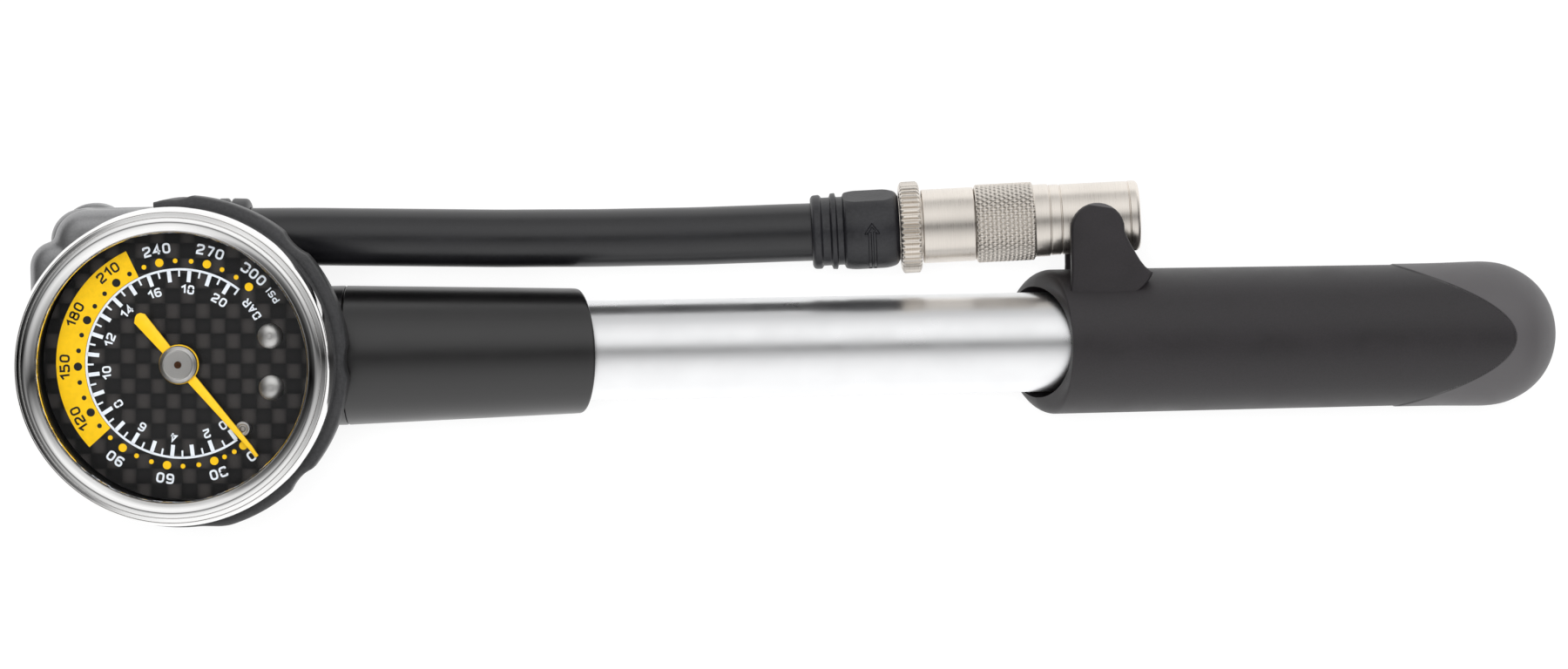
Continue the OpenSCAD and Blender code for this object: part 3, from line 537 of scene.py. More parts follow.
def sector_plate(r0, r1, a0, a1, z0, z1, steps=64):
    """A flat ring sector from angle a0 to a1, in degrees."""
    angles = [a0 + (a1 - a0) * i / steps for i in range(steps + 1)]
    rings = []
    for a in angles:
        (xi, yi), (xo, yo) = polar(r0, a), polar(r1, a)
        rings.append([(xi, yi, z0), (xo, yo, z0), (xo, yo, z1), (xi, yi, z1)])
    return skin(rings)


# ---- hose

def smooth_route(points, steps=6):
    """A Catmull-Rom line through the route's points, in millimetres."""
    pts = [Vector((x / MM, y / MM, AXIS_Z)) for x, y in points]
    pts = [2 * pts[0] - pts[1]] + pts + [2 * pts[-1] - pts[-2]]
    line = []
    for i in range(1, len(pts) - 2):
        a, b, c, d = pts[i - 1:i + 3]
        for k in range(steps):
            t = k / steps
            line.append(0.5 * (2 * b + (c - a) * t + (2 * a - 5 * b + 4 * c - d) * t * t
                               + (3 * b - a - 3 * c + d) * t ** 3))
    line.append(pts[-2])
    return line


def make_hose():
    line = smooth_route(HOSE_ROUTE)
    sides = 64
    rings = []
    for i, p in enumerate(line):
        t = (line[min(i + 1, len(line) - 1)] - line[max(i - 1, 0)]).normalized()
        side = Vector((-t.y, t.x, 0))
        ring = []
        for k in range(sides):
            a = TAU * k / sides
            r = HOSE_R * (1 + 0.002 * math.sin(3 * a + i * 0.05))
            ring.append(p + side * r * math.cos(a) + Vector((0, 0, 1)) * r * math.sin(a))
        rings.append(ring)
    piece = add_piece("hose_tube", flipped(skin(rings)), "hose_arm", "hose", replaces="hose")
    return piece, line


hose_piece, hose_line = make_hose()


# ---- boots

def make_tail_boot():
    """The ribbed boot where the hose leaves its swivel head."""
    x0, end = low("hose_tail_boot").x, high("hose_tail_boot").x
    outline = [
        (x0 + 0.02, HOSE_R + 0.02), (x0 + 0.02, 5.2), (-4.0, 5.5), (-1.4, 5.98), (2.6, 5.75),
        (4.0, 5.5), (4.1, 4.95), (4.35, 4.95), (4.5, 5.6), (5.95, 5.6), (6.1, 4.95), (6.35, 4.95),
        (6.5, 5.6), (end - 0.35, 5.5), (end, 4.9), (end, HOSE_R + 0.02),
    ]
    radii = [0, 0.5, 0.8, 1.6, 0.8, 0.4, 0.1, 0.1, 0.45, 0.45, 0.1, 0.1, 0.45, 0.5, 0.3, 0]
    part = lathe(rounded(outline, radii), 96, shift(0, HOSE_ROUTE[0][1] / MM, AXIS_Z))
    return add_piece("tail_boot", part, "hose_arm", "boot", replaces="hose_tail_boot")


def make_chuck_boot():
    """The ribbed boot before the chuck, with flats along it and a small moulded arrow."""
    outline = [
        (0.02, HOSE_R + 0.02), (0.02, 4.9), (0.35, 5.35), (1.4, 5.4), (1.65, 4.95), (2.85, 4.95),
        (3.0, 5.5), (3.7, 5.55), (3.85, 4.95), (4.75, 4.95), (4.95, 5.5), (6.2, 5.72),
        (11.2, 5.72), (12.6, 5.35), (13.05, 4.6), (13.05, HOSE_R + 0.25), (9.9, HOSE_R + 0.02),
    ]
    radii = [0, 0.3, 0.3, 0.25, 0.15, 0.15, 0.15, 0.15, 0.15, 0.15, 0.3, 0.8, 1.2, 0.7, 0.3, 0, 0]
    start, fit = 0.45, 0.98
    outline = [(start + u * fit, r) for u, r in outline]
    ribs_end, flat, flat_at = 4.9, 5.36, math.radians(22)
    arrow, half, line, deep = 9.2, 0.36, 0.17, 0.22

    def shape(u, a, r):
        if r < 4.9:
            return r
        away = math.cos(a - flat_at)
        if u > ribs_end and away > 0.5:
            r = min(r, flat / away)
        down = -math.cos(a) * r
        shaft = abs(abs(u - arrow) - half) < line and down > 0.2
        tip = abs(abs(u - arrow) - (down + 0.75) * 0.72) < 0.2 and down < 0.5
        if math.sin(a) > 0 and u > ribs_end + 0.1 and (shaft or tip):
            r -= deep
        return r

    part = lathe(densified(rounded(outline, radii), 0.1), 360, CHUCK, shape)
    return add_piece("chuck_end_boot", part, "hose_arm", "boot", 50, replaces="chuck_boot")


# ---- chuck

def make_lock_ring():
    """The finger ring, cut all round with rounded teeth and broken at both rims."""
    teeth, tip, deep = 46, 6.64, 0.5
    outline = [(13.32, 4.46), (13.32, 5.9), (13.68, tip), (16.02, tip), (16.38, 5.9), (16.38, 4.46)]
    profile = rounded(outline, [0, 0.2, 0.25, 0.25, 0.2, 0], 3)

    def shape(u, a, r):
        if r < 5.5:
            return r
        wave = abs((a * teeth / TAU) % 1.0 - 0.5) * 2
        cut = deep * max(0.0, min(1.0, (wave - 0.3) / 0.5))
        return min(r, tip - cut)

    part = lathe(profile, teeth * 10, CHUCK, shape)
    return add_piece("finger_ring", part, "lock_ring", "nickel", 40, replaces="lock_ring")


def make_chuck_barrel():
    """The plain turned body between the finger ring and the knurled collar."""
    outline = [(10.2, 2.05), (10.2, 4.39), (16.62, 4.39), (16.62, 5.36), (24.18, 5.36), (24.18, 3.6),
               (34.5, 3.6), (34.5, 2.05)]
    part = lathe(rounded(outline, [0, 0.1, 0, 0.22, 0.22, 0, 0.2, 0]), 128, CHUCK)
    return add_piece("chuck_shell", part, "hose_arm", "nickel", 40, replaces="chuck_body")


def make_collar():
    """The knurled collar and the nose, turned from one piece, with fine grooves and the port."""
    knurl_x0, knurl_x1, land_r = 24.32, 32.9, 5.5
    outline = [
        (24.32, 3.7), (24.32, 5.35), (24.6, 5.62), (32.65, 5.62), (32.9, 5.26), (34.98, 5.26),
        (35.04, 5.06), (35.16, 5.06), (35.22, 5.14), (36.58, 5.13), (36.64, 4.96), (36.76, 4.96),
        (36.82, 5.1), (46.5, 5.08), (46.56, 4.94), (46.66, 4.94), (46.72, 5.11), (47.7, 5.11),
        (48.08, 4.75), (48.08, 4.25), (47.75, 3.95), (38.0, 3.95), (38.0, 3.5), (36.4, 3.5),
        (36.4, 1.7), (35.0, 1.7), (35.0, 3.7),
    ]
    radii = [0, 0.1, 0.12, 0.12, 0.08, 0.08, 0.03, 0.03, 0.06, 0.06, 0.03, 0.03, 0.06, 0.06, 0.03,
             0.03, 0.06, 0.25, 0.15, 0.12, 0.12, 0, 0, 0, 0, 0, 0]
    profile = densified(rounded(outline, radii), 0.13, (knurl_x0, knurl_x1, land_r))
    starts, pitch = 42, 1.25

    def ridge(phase):
        return abs(phase % 1.0 - 0.5) * 2

    def shape(u, a, r):
        if not (knurl_x0 + 0.1 < u < knurl_x1 - 0.05) or r < 5.3:
            return r
        round_it, along = starts * a / TAU, u / pitch
        peak = min(1.0, min(1 - ridge(round_it + along), 1 - ridge(round_it - along)) * 1.8)
        return r + 0.22 * peak - 0.16

    part = lathe(profile, starts * 12, CHUCK, shape)
    return add_piece("knurled_collar", part, "collar", "nickel", 45, replaces="chuck_collar")


# ---- grip

def crease_x(angle):
    """Where the long front and back pads end; angle is from the top of the grip."""
    return CREASE_TIP - CREASE_LEN * math.sin(angle) ** 2


def dome_radius(x):
    t = max(0.0, min(1.0, (x - DOME_X) / (GRIP_X1 - DOME_X)))
    return GRIP_R * math.sqrt(max(0.0, 1 - t ** 2.35))


def body_radius(x):
    """The grip is a little slimmer beside the end than at its mouth."""
    return GRIP_R + 0.12 - 0.26 * max(0.0, min(1.0, (x - MOUTH_X) / 52))


def smooth(t):
    t = max(0.0, min(1.0, t))
    return t * t * (3 - 2 * t)


def grip_radius(x, angle):
    """The end: a waisted shell that the two pads stand on as far as their crease."""
    if x <= END_X:
        return body_radius(x)
    side = abs(math.sin(angle))
    pad = smooth((crease_x(angle) - x) / 0.22)
    waist = 0.5 * smooth((x - 174) / 8) * (1 - smooth((x - 190) / 5)) * (1 - side ** 3)
    swell = 0.12 * smooth((x - 180) / 8) * side ** 4
    shell = min(dome_radius(x), GRIP_R) - waist + swell * (1 - smooth((x - 190) / 4))
    front = body_radius(x)
    if x > DOME_X:
        front = min(front, dome_radius(x) + 0.25)
    return shell + (front - shell) * pad


def make_grip():
    """The moulded grip: slanted, rounded mouth, long pads front and back, and a domed end."""
    sides = 288
    angles = [TAU * k / sides for k in range(sides)]
    fine_step, fine_end = 0.16, 198.2

    def lip(angle, t):
        """The mouth's rounded lip, from its outer edge at t = 0 to its inner edge at t = 1."""
        outer = 125.3 + 2.3 * math.cos(angle)
        inner = 122.75 + (4.8 if math.cos(angle) > 0 else 3.85) * math.cos(angle)
        x = outer - (outer - inner) * math.sin(t * math.pi / 2)
        thick = body_radius(MOUTH_X) - GRIP_BORE_R
        return x, GRIP_BORE_R + thick * math.cos(t * math.pi / 2) ** 0.9

    floor_x, hole_r = 188.5, 4.0
    rings = [[(floor_x, r, a) for a in angles] for r in (hole_r, GRIP_BORE_R)]
    for t in (1.0, 0.93, 0.85, 0.75, 0.62, 0.5, 0.37, 0.25, 0.14, 0.06, 0.0):
        rings.append([(*lip(a, t), a) for a in angles])
    mouth = [lip(a, 0.0)[0] for a in angles]
    for t in (0.003, 0.02, 0.1, 0.25, 0.45, 0.7, 1.0):
        along = [m + (END_X - m) * t for m in mouth]
        rings.append([(x, body_radius(x), a) for x, a in zip(along, angles)])
    x = END_X
    while x < fine_end:
        x += fine_step
        rings.append([(x, grip_radius(x, a), a) for a in angles])
    for t in (0.25, 0.5, 0.75, 0.92):
        xe = x + (GRIP_X1 - x) * (1 - (1 - t) ** 2)
        rings.append([(xe, dome_radius(xe), a) for a in angles])
    return flipped(skin(about_axis(rings)))


def make_clip():
    """Both prongs: straight inner side, round top, flared outer side, and broken edges."""
    top, r, x0 = 20.3, 3.9, 127.75
    middle = Vector((x0 + r, top - r))
    outline = [(x0 - 0.25, 6.0), (x0 - 0.1, 9.0), (x0, 11.0)]
    outline += [tuple(middle + Vector(polar(r, a))) for a in range(180, 5, -12)]
    outline += [(135.5, 16.1), (136.2, 14.6), (137.0, 13.1), (137.7, 11.9), (138.4, 11.0),
                (139.1, 10.45), (139.5, 10.2), (139.3, 9.7), (138.9, 9.0), (138.2, 8.2),
                (137.2, 7.3), (135.0, 6.0)]
    outline = outline[::-1]
    near, far = 5.35, 7.3
    levels = [(near, 0.12), (near + 0.12, 0.0), (far - 0.45, 0.0), (far - 0.2, 0.06),
              (far - 0.05, 0.22), (far, 0.45)]
    upper, lower = (skin([inset_ring(outline, inset, AXIS_Z + side * z) for z, inset in levels])
                    for side in (1, -1))
    return merged(upper, flipped(lower))


def make_handle():
    add_piece("grip", make_grip(), "handle", "grip", 22, replaces="handle_grip")
    add_piece("clip_prongs", make_clip(), "handle", "grip", 40, replaces="hose_clip")


# ---- casting

def melted(parts, cuts, voxel, rounds):
    """Overlapping closed parts as one casting with soft blends, and crisp bores cut into it."""
    scene = bpy.context.scene.collection

    def mesh_object(part):
        mesh = bpy.data.meshes.new("blank")
        mesh.from_pydata([tuple(v) for v in part[0]], [], part[1])
        made = bpy.data.objects.new("blank", mesh)
        scene.objects.link(made)
        return made

    blank = mesh_object(merged(*parts))
    cast = blank.modifiers.new("cast", "REMESH")
    cast.mode = "VOXEL"
    cast.voxel_size = voxel
    soft = blank.modifiers.new("soft", "SMOOTH")
    soft.factor = 0.5
    soft.iterations = rounds
    tools = [mesh_object(cut) for cut in cuts]
    for tool in tools:
        bore = blank.modifiers.new("bore", "BOOLEAN")
        bore.operation = "DIFFERENCE"
        bore.solver = "EXACT"
        bore.object = tool
    done = blank.evaluated_get(bpy.context.evaluated_depsgraph_get()).to_mesh()
    part = [v.co.copy() for v in done.vertices], [tuple(f.vertices) for f in done.polygons]
    for made in [blank] + tools:
        bpy.data.objects.remove(made)
    return part


def drum(r, z0, z1, at=(0, 0, 0), axis="Z", corner=0.0, sides=96):
    """A closed cylinder about X or Z with rounded rims."""
    outline = [(z0, 0.02), (z0, r), (z1, r), (z1, 0.02)]
    return lathe(rounded(outline, [0, corner, corner, 0], 5), sides, shift(*at), axis=axis)


def slab(outline, z0, z1, corner):
    """A plate with rounded rims top and bottom."""
    levels = [math.radians(d) for d in range(0, 91, 15)]
    steps = [(z0 + corner * (1 - math.sin(t)), corner * (1 - math.cos(t))) for t in levels[::-1]]
    steps += [(z1 - corner * (1 - math.sin(t)), corner * (1 - math.cos(t))) for t in levels]
    return skin([inset_ring(outline, inset, z) for z, inset in steps])


def round_corners(corners, r):
    """A box outline, rounded with radius r about each of four corners, from the lower right."""
    points = []
    for (x, y), start in zip(corners, (270, 0, 90, 180)):
        for d in range(0, 91, 10):
            a = math.radians(start + d)
            points.append((x + r * math.cos(a), y + r * math.sin(a)))
    return points


PIVOT = Vector((-14.9, 17.6))


def make_casting():
    """The cast body under the gauge, with its corner lobe and the ear below the hose swivel."""
    deck, top = 20.6, high("base_body").z
    on_axis, at_pivot = (0, 0, AXIS_Z), (PIVOT.x, PIVOT.y, 0)
    corner = round_corners([(-4, 4), (-4, 14.1), (-17.45, 14.1), (-17.45, 4)], 3.75)
    hood = round_corners([(-6, 17.4), (-6, 17.6), (-13.1, 17.6), (-13.1, 17.4)], 4.6)
    x0, x1 = PIVOT.x - 5.0, PIVOT.x + 5.0
    parts = [
        drum(10.15, -19.45, 15, on_axis, "X", 1.6), drum(9.0, 12, 30, on_axis, "X"),
        drum(9.95, 1.4, AXIS_Z), drum(22.28, 16.75, deck, corner=0.3, sides=192),
        slab(corner, 16.72, top - 0.02, 2.4), slab(hood, 16.72, top - 0.02, 2.8),
        drum(5.15, 0.45, 5.4, at_pivot, corner=0.9),
        flat_shape([(x0, 2), (x1, 2), (x1, PIVOT.y), (x0, PIVOT.y)], 1.2, 5.35),
    ]
    case_room = [drum(21.0, 17.9, top + 3, sides=128), drum(22.34, deck - 0.01, top + 3, sides=192)]
    bores = [
        drum(BARREL_R, 13, 34, on_axis, "X"), drum(2.5, -1, 9, at_pivot),
        drum(3.25, -22, -16.6, on_axis, "X"), drum(3.2, 7.2, 21, (9, 0, 0)),
    ]
    add_piece("casting", melted(parts, case_room + bores, 0.3, 14), "base", "casting", 50,
              replaces="base_body")
    shoulder = rounded([(15.02, 9.05), (15.02, 10.15), (22.58, 10.15), (22.58, 9.05)], [0, 0.1, 0.3, 0])
    add_piece("neck_shoulder", lathe(shoulder, 128, shift(z=AXIS_Z)), "base", "sleeve", 40)


def make_swivel_head():
    """The rounded head that turns with the hose, one tube end run into a dome."""
    at, line = (PIVOT.x, PIVOT.y, 0), (0, PIVOT.y, AXIS_Z)
    tail = low("hose_tail_boot").x
    parts = [drum(4.6, 5.7, 16.3, at, corner=2.6), drum(4.58, PIVOT.x, tail + 0.3, line, "X")]
    cuts = [drum(2.55, 4, 13.25, at), drum(1.5, PIVOT.x, tail + 3, line, "X"),
            drum(6, tail, tail + 3, line, "X")]
    add_piece("swivel_casting", melted(parts, cuts, 0.2, 12), "hose_arm", "casting", 50,
              replaces="swivel_head")


# ---- sleeve

def make_sleeve():
    """The tapered sleeve with a slanted, broken far edge."""
    sides, lip_r, inner_x = 192, 9.1, 31.0
    angles = [TAU * k / sides for k in range(sides)]
    root_r = (high("neck_sleeve").z - low("neck_sleeve").z) / 2
    x0, bore_r, socket_r = SLEEVE_X0, BARREL_R + 0.02, BARREL_R + 1.76
    slant = math.tan(math.radians(16.8))

    def end_x(r, a):
        return 56.3 + slant * r * math.cos(a)

    def radius(x):
        return root_r + (lip_r - root_r) * (x - x0) / 34.0

    rings = []
    for x, r in ((x0 + 0.02, socket_r), (x0 + 0.02, root_r - 0.15), (x0 + 0.2, root_r - 0.01)):
        rings.append([(x, r, a) for a in angles])
    for t in (0.2, 0.4, 0.6, 0.8, 0.97):
        along = [x0 + (end_x(lip_r, a) - x0) * t for a in angles]
        rings.append([(x, radius(x), a) for x, a in zip(along, angles)])
    for back, inset in ((0.35, 0.0), (0.14, 0.06), (0.03, 0.18), (0.0, 0.36)):
        rings.append([(end_x(lip_r, a) - back, lip_r - inset, a) for a in angles])
    rings.append([(end_x(bore_r, a), bore_r, a) for a in angles])
    rings += [[(inner_x, r, a) for a in angles] for r in (bore_r, socket_r)]
    add_piece("sleeve", flipped(skin(about_axis(rings), closed=True)), "base", "sleeve",
              replaces="neck_sleeve")


# ---- gauge

def make_bezel():
    """The polished bezel: a full round, two fine steps and a broad top land."""
    z, edge = BEZEL_Z1, BEZEL_R
    outline = [
        (BEZEL_Z0, 21.35), (BEZEL_Z0, edge - 0.1), (BEZEL_Z0 + 0.2, edge), (z - 2.9, edge),
        (z - 1.15, edge - 0.3), (z - 0.72, edge - 0.66), (z - 0.95, edge - 0.72), (z - 0.66, edge - 0.8),
        (z - 0.28, edge - 1.34), (z - 0.5, edge - 1.42), (z - 0.2, edge - 1.5), (z, edge - 2.1),
        (z - 0.25, edge - 2.9), (z - 0.85, WINDOW_R + 0.12), (z - 1.4, WINDOW_R),
        (LENS_Z1 + 0.02, WINDOW_R), (LENS_Z1 + 0.02, 20.35), (LENS_Z1, 20.42), (28.6, 20.42), (28.6, 21.35),
    ]
    radii = [0, 0.05, 0.1, 1.5, 0.5, 0.03, 0.02, 0.1, 0.03, 0.02, 0.1, 0.6, 0.6, 0.3, 0, 0, 0, 0, 0, 0]
    part = lathe(rounded(outline, radii, 6), 256, axis="Z")
    add_piece("bezel", part, "base", "chrome", 32, replaces="bezel_ring")


def make_guard():
    """The rubber guard round the case: eight shallow finger scallops, and a slim left half."""
    z0, z1 = GUARD_Z0 + 0.02, GUARD_Z1
    inner = CASE_R + 0.02
    start, turn, steps = 160.0, 297.5, 360
    slim, full_from = 23.35, 275
    scallops, half, deep = 45, 5.6, 0.55

    def rim(degrees):
        away = abs((degrees + scallops / 2) % scallops - scallops / 2)
        dent = deep * (1 - (away / half) ** 2) if away < half else 0.0
        full = smooth((start + turn - degrees) / 9) * smooth((degrees - full_from) / 12)
        return slim + (GUARD_R - dent - slim - 0.02) * full

    levels = [(z0, 0.5), (z0 + 0.12, 0.15), (z0 + 0.4, 0.0), (z1 - 0.9, 0.0), (z1 - 0.45, 0.12),
              (z1 - 0.12, 0.42), (z1, 0.85)]
    rings = []
    for k in range(steps + 1):
        degrees = start + turn * k / steps
        edge = [(max(inner + 0.05, rim(degrees) - inset), z) for z, inset in levels]
        rings.append([(*polar(r, degrees), z) for r, z in [(inner, z0)] + edge + [(inner, z1)]])
    add_piece("guard", skin(rings), "base", "guard", 40, replaces="gauge_guard")


def make_rivets():
    """Two domed rivets that hold the dial, each with a faint dimple."""
    x, out, r0, z = 12.86, 3.71, 1.82, DIAL_Z + 0.1
    outline = [(DIAL_Z, 0.01), (DIAL_Z, r0), (z, r0)]
    outline += [(z + 0.55 * (1 - (r / r0) ** 2.4), r) for r in (1.7, 1.5, 1.3, 1.1, 0.9, 0.7, 0.5)]
    outline += [(DIAL_Z + 0.63, 0.3), (DIAL_Z + 0.6, 0.01)]
    profile = rounded(outline, [0, 0, 0.05] + [0.08] * 8 + [0])
    part = merged(*(lathe(profile, 64, shift(x, y), axis="Z") for y in (out, -out)))
    add_piece("dial_rivet_heads", part, "base", "steel", 40, replaces="dial_rivets")


def make_stop_pin():
    """The rolled zero pin: a small tube with an open middle."""
    at, z = shift(*polar(12.85, -47.4)), DIAL_Z
    outline = [(z, 0.42), (z, 1.08), (z + 1.15, 1.08), (z + 1.15, 0.72), (z + 0.95, 0.62), (z + 0.95, 0.42)]
    tube = lathe(rounded(outline, [0, 0, 0.18, 0.08, 0.05, 0.05]), 48, at, axis="Z")
    core = [(z, 0.01), (z, 0.36), (z + 0.85, 0.36), (z + 1.0, 0.2), (z + 1.0, 0.01)]
    part = merged(tube, lathe(core, 32, at, axis="Z"))
    add_piece("zero_pin", part, "base", "steel", 40, replaces="stop_pin")


# ---- dial print

INK_Z = DIAL_Z + 0.01
INK_T = 0.02
TURN = -1.1


def psi_angle(psi):
    """Angle of a PSI mark: the first three steps are a little shorter than the rest."""
    if psi <= 30:
        return -53 - 18.5 * psi / 30 + TURN
    return -71.5 - 26.7 * (psi - 30) / 30 + TURN


def bar_angle(bar):
    """Angle of a bar mark: the stretch up to 2 bar is shorter than the rest."""
    if bar <= 2:
        return -54.4 - 7.9 * bar + TURN
    return -70.2 - 12.85 * (bar - 2) + TURN


def disc(r, centre, z0, z1, sides=28):
    ring = [polar(r, 360 * k / sides) for k in range(sides)]
    return flat_shape([(centre[0] + x, centre[1] + y) for x, y in ring], z0, z1)


def bar_mark(angle, r0, r1, width, z0, z1):
    ring = [(r0, -width / 2), (r1, -width / 2), (r1, width / 2), (r0, width / 2)]
    return moved(flat_shape(ring, z0, z1), turned(angle))


# Each glyph is a list of strokes: (closed, [(x, y, corner radius), ...]) in a cell one high and one
# wide. O is the radius of an open curve's corners.
O = 0.3
GLYPHS = {
    "0": [(True, [(0, 0, O), (1, 0, O), (1, 1, O), (0, 1, O)])],
    "1": [(False, [(0.1, 0.74, 0), (0.75, 1, 0), (0.75, 0, 0)])],
    "2": [(False, [(0, 0.76, 0), (0, 1, O), (1, 1, O), (1, 0.55, 0.2), (0, 0.28, 0.2), (0, 0, 0),
                   (1.04, 0, 0)])],
    "3": [(False, [(0, 0.8, 0), (0, 1, O), (1, 1, O), (1, 0.53, 0.2), (0.4, 0.53, 0)]),
          (False, [(0.4, 0.53, 0), (1, 0.53, 0.2), (1, 0, O), (0, 0, O), (0, 0.22, 0)])],
    "4": [(False, [(0.74, -0.08, 0), (0.74, 1, 0), (0, 0.27, 0), (1.08, 0.27, 0)])],
    "5": [(False, [(0.98, 1, 0), (0.04, 1, 0), (0.04, 0.58, 0), (1, 0.58, O), (1, 0, O), (0, 0, O),
                   (0, 0.2, 0)])],
    "6": [(False, [(0.96, 0.82, 0), (0.96, 1, O), (0, 1, O), (0, 0, O), (1, 0, O), (1, 0.55, O),
                   (0.05, 0.55, 0)])],
    "7": [(False, [(0, 1, 0), (1, 1, 0.1), (0.42, -0.08, 0)])],
    "8": [(True, [(0, 0, O), (1, 0, O), (1, 0.53, 0.2), (0, 0.53, 0.2)]),
          (True, [(0.05, 0.53, 0.2), (0.95, 0.53, 0.2), (0.95, 1, O), (0.05, 1, O)])],
    "9": [(False, [(0.04, 0.18, 0), (0.04, 0, O), (1, 0, O), (1, 1, O), (0, 1, O), (0, 0.45, O),
                   (0.95, 0.45, 0)])],
    "A": [(False, [(-0.05, -0.08, 0), (0.5, 1.02, 0.04), (1.05, -0.08, 0)]),
          (False, [(0.18, 0.28, 0), (0.82, 0.28, 0)])],
    "B": [(True, [(0, 0, 0.05), (1, 0, O), (1, 0.53, 0.2), (0, 0.53, 0.05)]),
          (True, [(0, 0.53, 0.05), (0.93, 0.53, 0.2), (0.93, 1, O), (0, 1, 0.05)])],
    "I": [(False, [(0.5, -0.08, 0), (0.5, 1.08, 0)])],
    "P": [(False, [(0, -0.08, 0), (0, 1, 0.05), (1, 1, O), (1, 0.42, O), (0.05, 0.42, 0)])],
    "R": [(False, [(0, -0.08, 0), (0, 1, 0.05), (1, 1, O), (1, 0.45, O), (0.05, 0.45, 0)]),
          (False, [(0.5, 0.45, 0), (1, -0.08, 0)])],
    "S": [(False, [(1, 0.8, 0), (1, 1, O), (0, 1, O), (0, 0.53, 0.2), (1, 0.53, 0.2), (1, 0, O), (0, 0, O),
                   (0, 0.2, 0)])],
}
NARROW = {"1": 0.72, "I": 0.62}


def stroke(points, closed, half, z0, z1):
    """A flat ribbon of constant width along a line of points."""
    line = [Vector(p) for p in points]
    n = len(line)
    rings = []
    for i, p in enumerate(line):
        first, last = not closed and i == 0, not closed and i == n - 1
        into = None if first else (p - line[i - 1]).normalized()
        out = into if last else (line[(i + 1) % n] - p).normalized()
        into = out if first else into
        along = (into + out).normalized()
        normal = Vector((-along.y, along.x))
        reach = half / max(0.45, normal.dot(Vector((-into.y, into.x))))
        left, right = p + normal * reach, p - normal * reach
        rings.append([(*right, z0), (*left, z0), (*left, z1), (*right, z1)])
    return skin(rings, closed)


def glyph(letter, height, centre, degrees, z0, weight=0.19, wide=0.76):
    """One number or letter as a thin raised mesh, its middle at centre and turned by degrees."""
    thick = height * weight
    tall, across = height - thick, height * wide - thick
    parts = []
    for closed, points in GLYPHS[letter]:
        xy = [((x - 0.5) * across, (y - 0.5) * tall) for x, y, r in points]
        radii = [r * height * 0.9 for x, y, r in points]
        if closed:
            line = rounded([xy[-1]] + xy + [xy[0]], [0] + radii + [0], 5)[1:-1]
        else:
            line = rounded(xy, radii, 5)
        parts.append(stroke(line, closed, thick / 2, z0, z0 + INK_T))
    return moved(merged(*parts), shift(*centre) @ turned(degrees))


def lettering(text, height, radius, degrees, z0, inward=False):
    """Text set round the dial, tops outward unless inward, with its middle at the angle given."""
    steps = [0.94 * height * NARROW.get(c, 1.0) for c in text]
    sense = 1 if inward else -1
    at = -sum(steps) / 2
    parts = []
    for c, step in zip(text, steps):
        middle = at + step / 2
        at += step
        angle = degrees + sense * math.degrees(middle / radius)
        parts.append(glyph(c, height, polar(radius, angle), angle + (90 if inward else -90), z0))
    return merged(*parts)


def make_dial_print():
    band = (115.6 + TURN, 222.3 + TURN)
    top = INK_Z + INK_T
    dot_r, psi_r, bar_r, track_r, tick_r = 14.7, 16.6, 10.65, 13.64, 13.4

    def on_band(angle):
        return band[0] < angle % 360 < band[1]

    yellow, dark, white, dark_text = [], [], [], []
    for psi in range(0, 301, 10):
        angle = psi_angle(psi)
        target, z = (dark, top) if on_band(angle) else (yellow, INK_Z)
        target.append(disc(0.6 if psi % 30 == 0 else 0.34, polar(dot_r, angle), z, z + INK_T))
    for psi in range(0, 301, 30):
        angle = psi_angle(psi)
        target, z = (dark_text, top) if on_band(angle) else (white, INK_Z)
        target.append(lettering(str(psi), 1.5, psi_r, angle + (2.5 if psi == 300 else 0), z))
    arc_end = 52 + TURN
    white.append(sector_plate(13.32, track_r, arc_end, bar_angle(0) + 360.6, INK_Z, top, 128))
    white.append(bar_mark(arc_end, 12.5, track_r, 0.27, INK_Z, top))
    for half in [0, 2] + list(range(4, 41)):
        whole = half % 2 == 0 and half != 2
        inner, width = (11.7, 0.56) if whole else (12.45, 0.26)
        white.append(bar_mark(bar_angle(half / 2), inner, tick_r, width, INK_Z, top))
    for bar in range(0, 21, 2):
        white.append(lettering(str(bar), 1.3, bar_r, bar_angle(bar) - (1.7 if bar == 0 else 0), INK_Z))
    white.append(lettering("BAR", 1.22, 12.85, 37.4 + TURN, INK_Z, inward=True))
    white.append(lettering("PSI", 1.02, 16.4, 36.6 + TURN, INK_Z, inward=True))
    inks = [
        ("dial_band", [sector_plate(13.7, 17.8, *band, INK_Z, top, 96)], "print_yellow"),
        ("dial_marks_white", white, "print_white"), ("dial_dots_yellow", yellow, "print_yellow"),
        ("dial_dots_dark", dark, "print_dark"), ("dial_numbers_dark", dark_text, "print_dark"),
    ]
    for name, parts, paint in inks:
        add_piece(name, merged(*parts), "base", paint, smooth=False)


# ---- pointer

POINTER_Z = low("pointer").z + 0.8
POINTER_ANGLE = -50.7


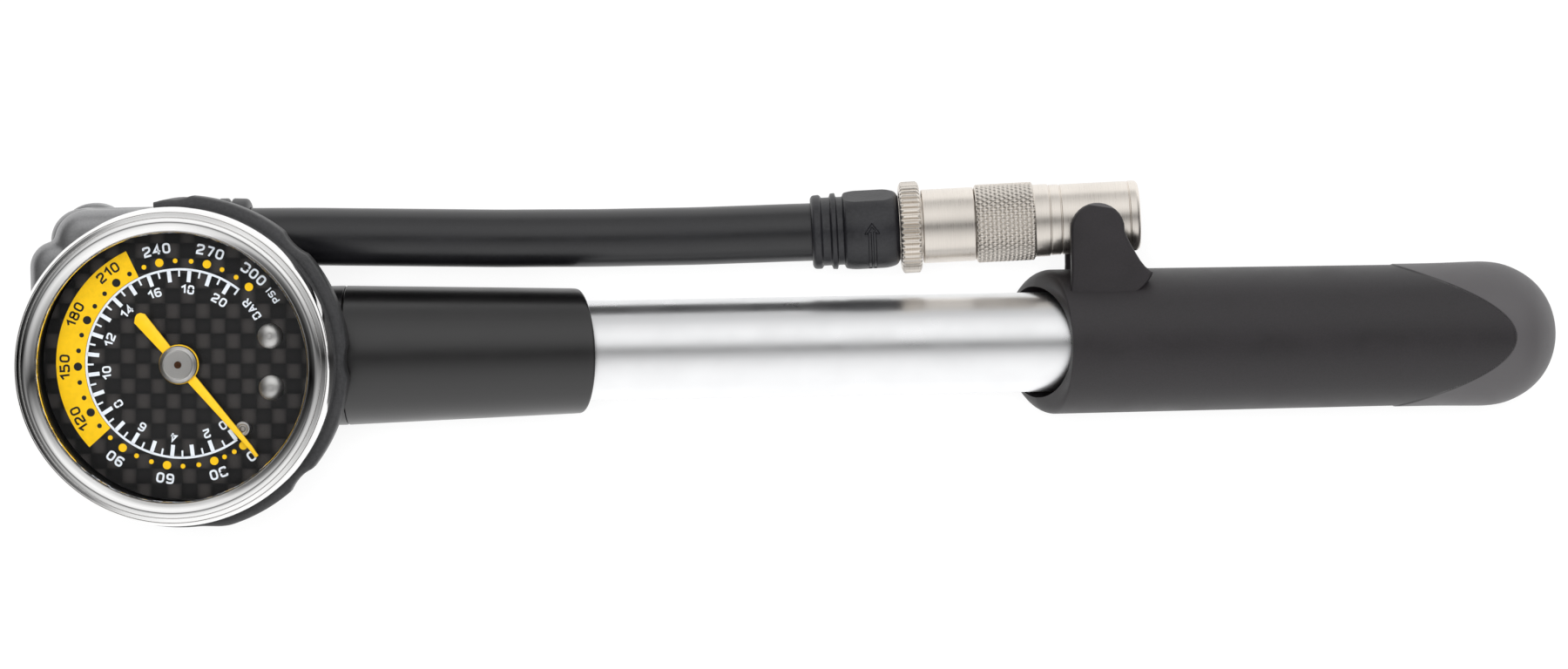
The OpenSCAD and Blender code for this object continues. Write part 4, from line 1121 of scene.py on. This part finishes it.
def make_pointer():
    z = POINTER_Z
    hand = [(-9.3, 0.15), (-9.15, -0.35), (-8.6, -1.0), (-2.0, -0.72), (2.0, -0.75), (15.6, -0.34),
            (17.15, -0.42), (17.2, 0.1), (15.6, 0.3), (2.0, 0.72), (-2.0, 0.72), (-8.6, 1.0), (-9.15, 0.6)]
    blade = moved(flat_shape(hand, z, z + 0.36, 0.08), turned(POINTER_ANGLE))
    hub = [(z - 0.02, 0.55), (z - 0.02, 2.84), (z + 0.42, 2.84), (z + 0.42, 0.55)]
    plate = lathe(rounded(hub, [0, 0.08, 0.12, 0], 3), 96, axis="Z")
    neck = lathe([(z - 0.8, 0.52), (z - 0.8, 1.28), (z, 1.28), (z, 0.52)], 64, axis="Z")
    add_piece("pointer_hand", merged(blade, plate, neck), "pointer_shaft", "pointer", 40,
              replaces="pointer")
    z = POINTER_Z + 0.43
    cap = [(z, 0.52), (z, 2.7), (z + 0.8, 2.7), (z + 1.12, 2.16), (z + 1.12, 2.06), (z + 1.04, 2.0),
           (z + 1.04, 0.52)]
    part = lathe(rounded(cap, [0, 0.08, 0.12, 0.12, 0.04, 0.05, 0]), 160, axis="Z")
    add_piece("pointer_hub_cap", part, "pointer_shaft", "hub", 30, replaces="pointer_cap")


# ---- surroundings

def make_stage():
    size, pale, paler = 4.0, (0.15, 0.15, 0.15), (0.16, 0.16, 0.16)
    floor = bpy.data.meshes.new("floor")
    corners = [(-size, -size, 0), (size, -size, 0), (size, size, 0), (-size, size, 0)]
    floor.from_pydata(corners, [], [(0, 1, 2, 3)])
    paint = Paint("floor", pale, 0.9, specular=0.0)
    paint.set("Emission Color", (1, 1, 1, 1))
    paint.set("Emission Strength", 0.86)
    slow = paint.noise(paint.place(), 0.01, 2)
    paint.feed(paint.ramp(slow, [(0.3, pale), (0.7, paler)]), "Base Color")
    floor.materials.append(paint.mat)
    piece = bpy.data.objects.new("floor", floor)
    piece.location.z = -0.0002
    bpy.context.scene.collection.objects.link(piece)


def make_studio():
    """A white tent: bright at the long sides, dimmer overhead, dark at the gauge's end."""
    world = bpy.data.worlds.new("studio")
    world.use_nodes = True
    sky = Nodes(world.node_tree)
    where = sky.parts(sky.node("ShaderNodeTexCoord").outputs["Generated"])

    def along(part, stops):
        """Brightness by one component of the direction, from -1 to 1."""
        level = sky.math("MULTIPLY_ADD", part, 0.5, 0.5)
        return sky.ramp(level, [((at + 1) / 2, value) for at, value in stops])

    across = along(where[1], [(-1, 1.0), (-0.8, 0.98), (-0.5, 0.84), (-0.3, 0.62), (-0.12, 0.35), (0, 0.05),
                              (0.12, 0.38), (0.3, 0.88), (0.6, 1.0), (0.85, 0.8), (1, 0.5)])
    length = along(where[0], [(-1, 0.04), (-0.86, 0.05), (-0.62, 0.2), (-0.42, 0.8), (-0.2, 1.0),
                              (0.4, 1.0), (0.62, 0.75), (0.85, 0.42), (1, 0.35)])
    background = world.node_tree.nodes["Background"]
    sky.link(sky.mix(1, across, length, "MULTIPLY"), background.inputs[0])
    background.inputs[1].default_value = 1.06
    bpy.context.scene.world = world


def make_overhead_light():
    """A soft box above the pump, kept out of its reflections."""
    data = bpy.data.lights.new("overhead", "AREA")
    data.shape = "RECTANGLE"
    data.size, data.size_y = 0.5, 0.3
    data.energy = 6.5
    light = bpy.data.objects.new("overhead", data)
    at, aim = Vector((0.05, 0.1, 0.8)), Vector((0.09, 0.0, 0.01))
    light.location = at
    light.rotation_euler = (at - aim).to_track_quat("Z", "Y").to_euler()
    light.visible_glossy = False
    bpy.context.scene.collection.objects.link(light)


on_hose = [make_tail_boot(), make_chuck_boot(), make_lock_ring(), make_chuck_barrel(), make_collar()]
on_hose += [frame["nodes"][n] for n in ("hose_tail_barb", "chuck_barb", "collar_clip", "spindle_seal",
                                        "depressor_seals", "depressor_pin", "valve_seal")]
make_handle()
make_casting()
make_swivel_head()
make_sleeve()
make_bezel()
make_guard()
make_rivets()
make_stop_pin()
make_dial_print()
make_pointer()
make_stage()
make_overhead_light()
make_studio()
bpy.context.scene.view_settings.view_transform = "Standard"
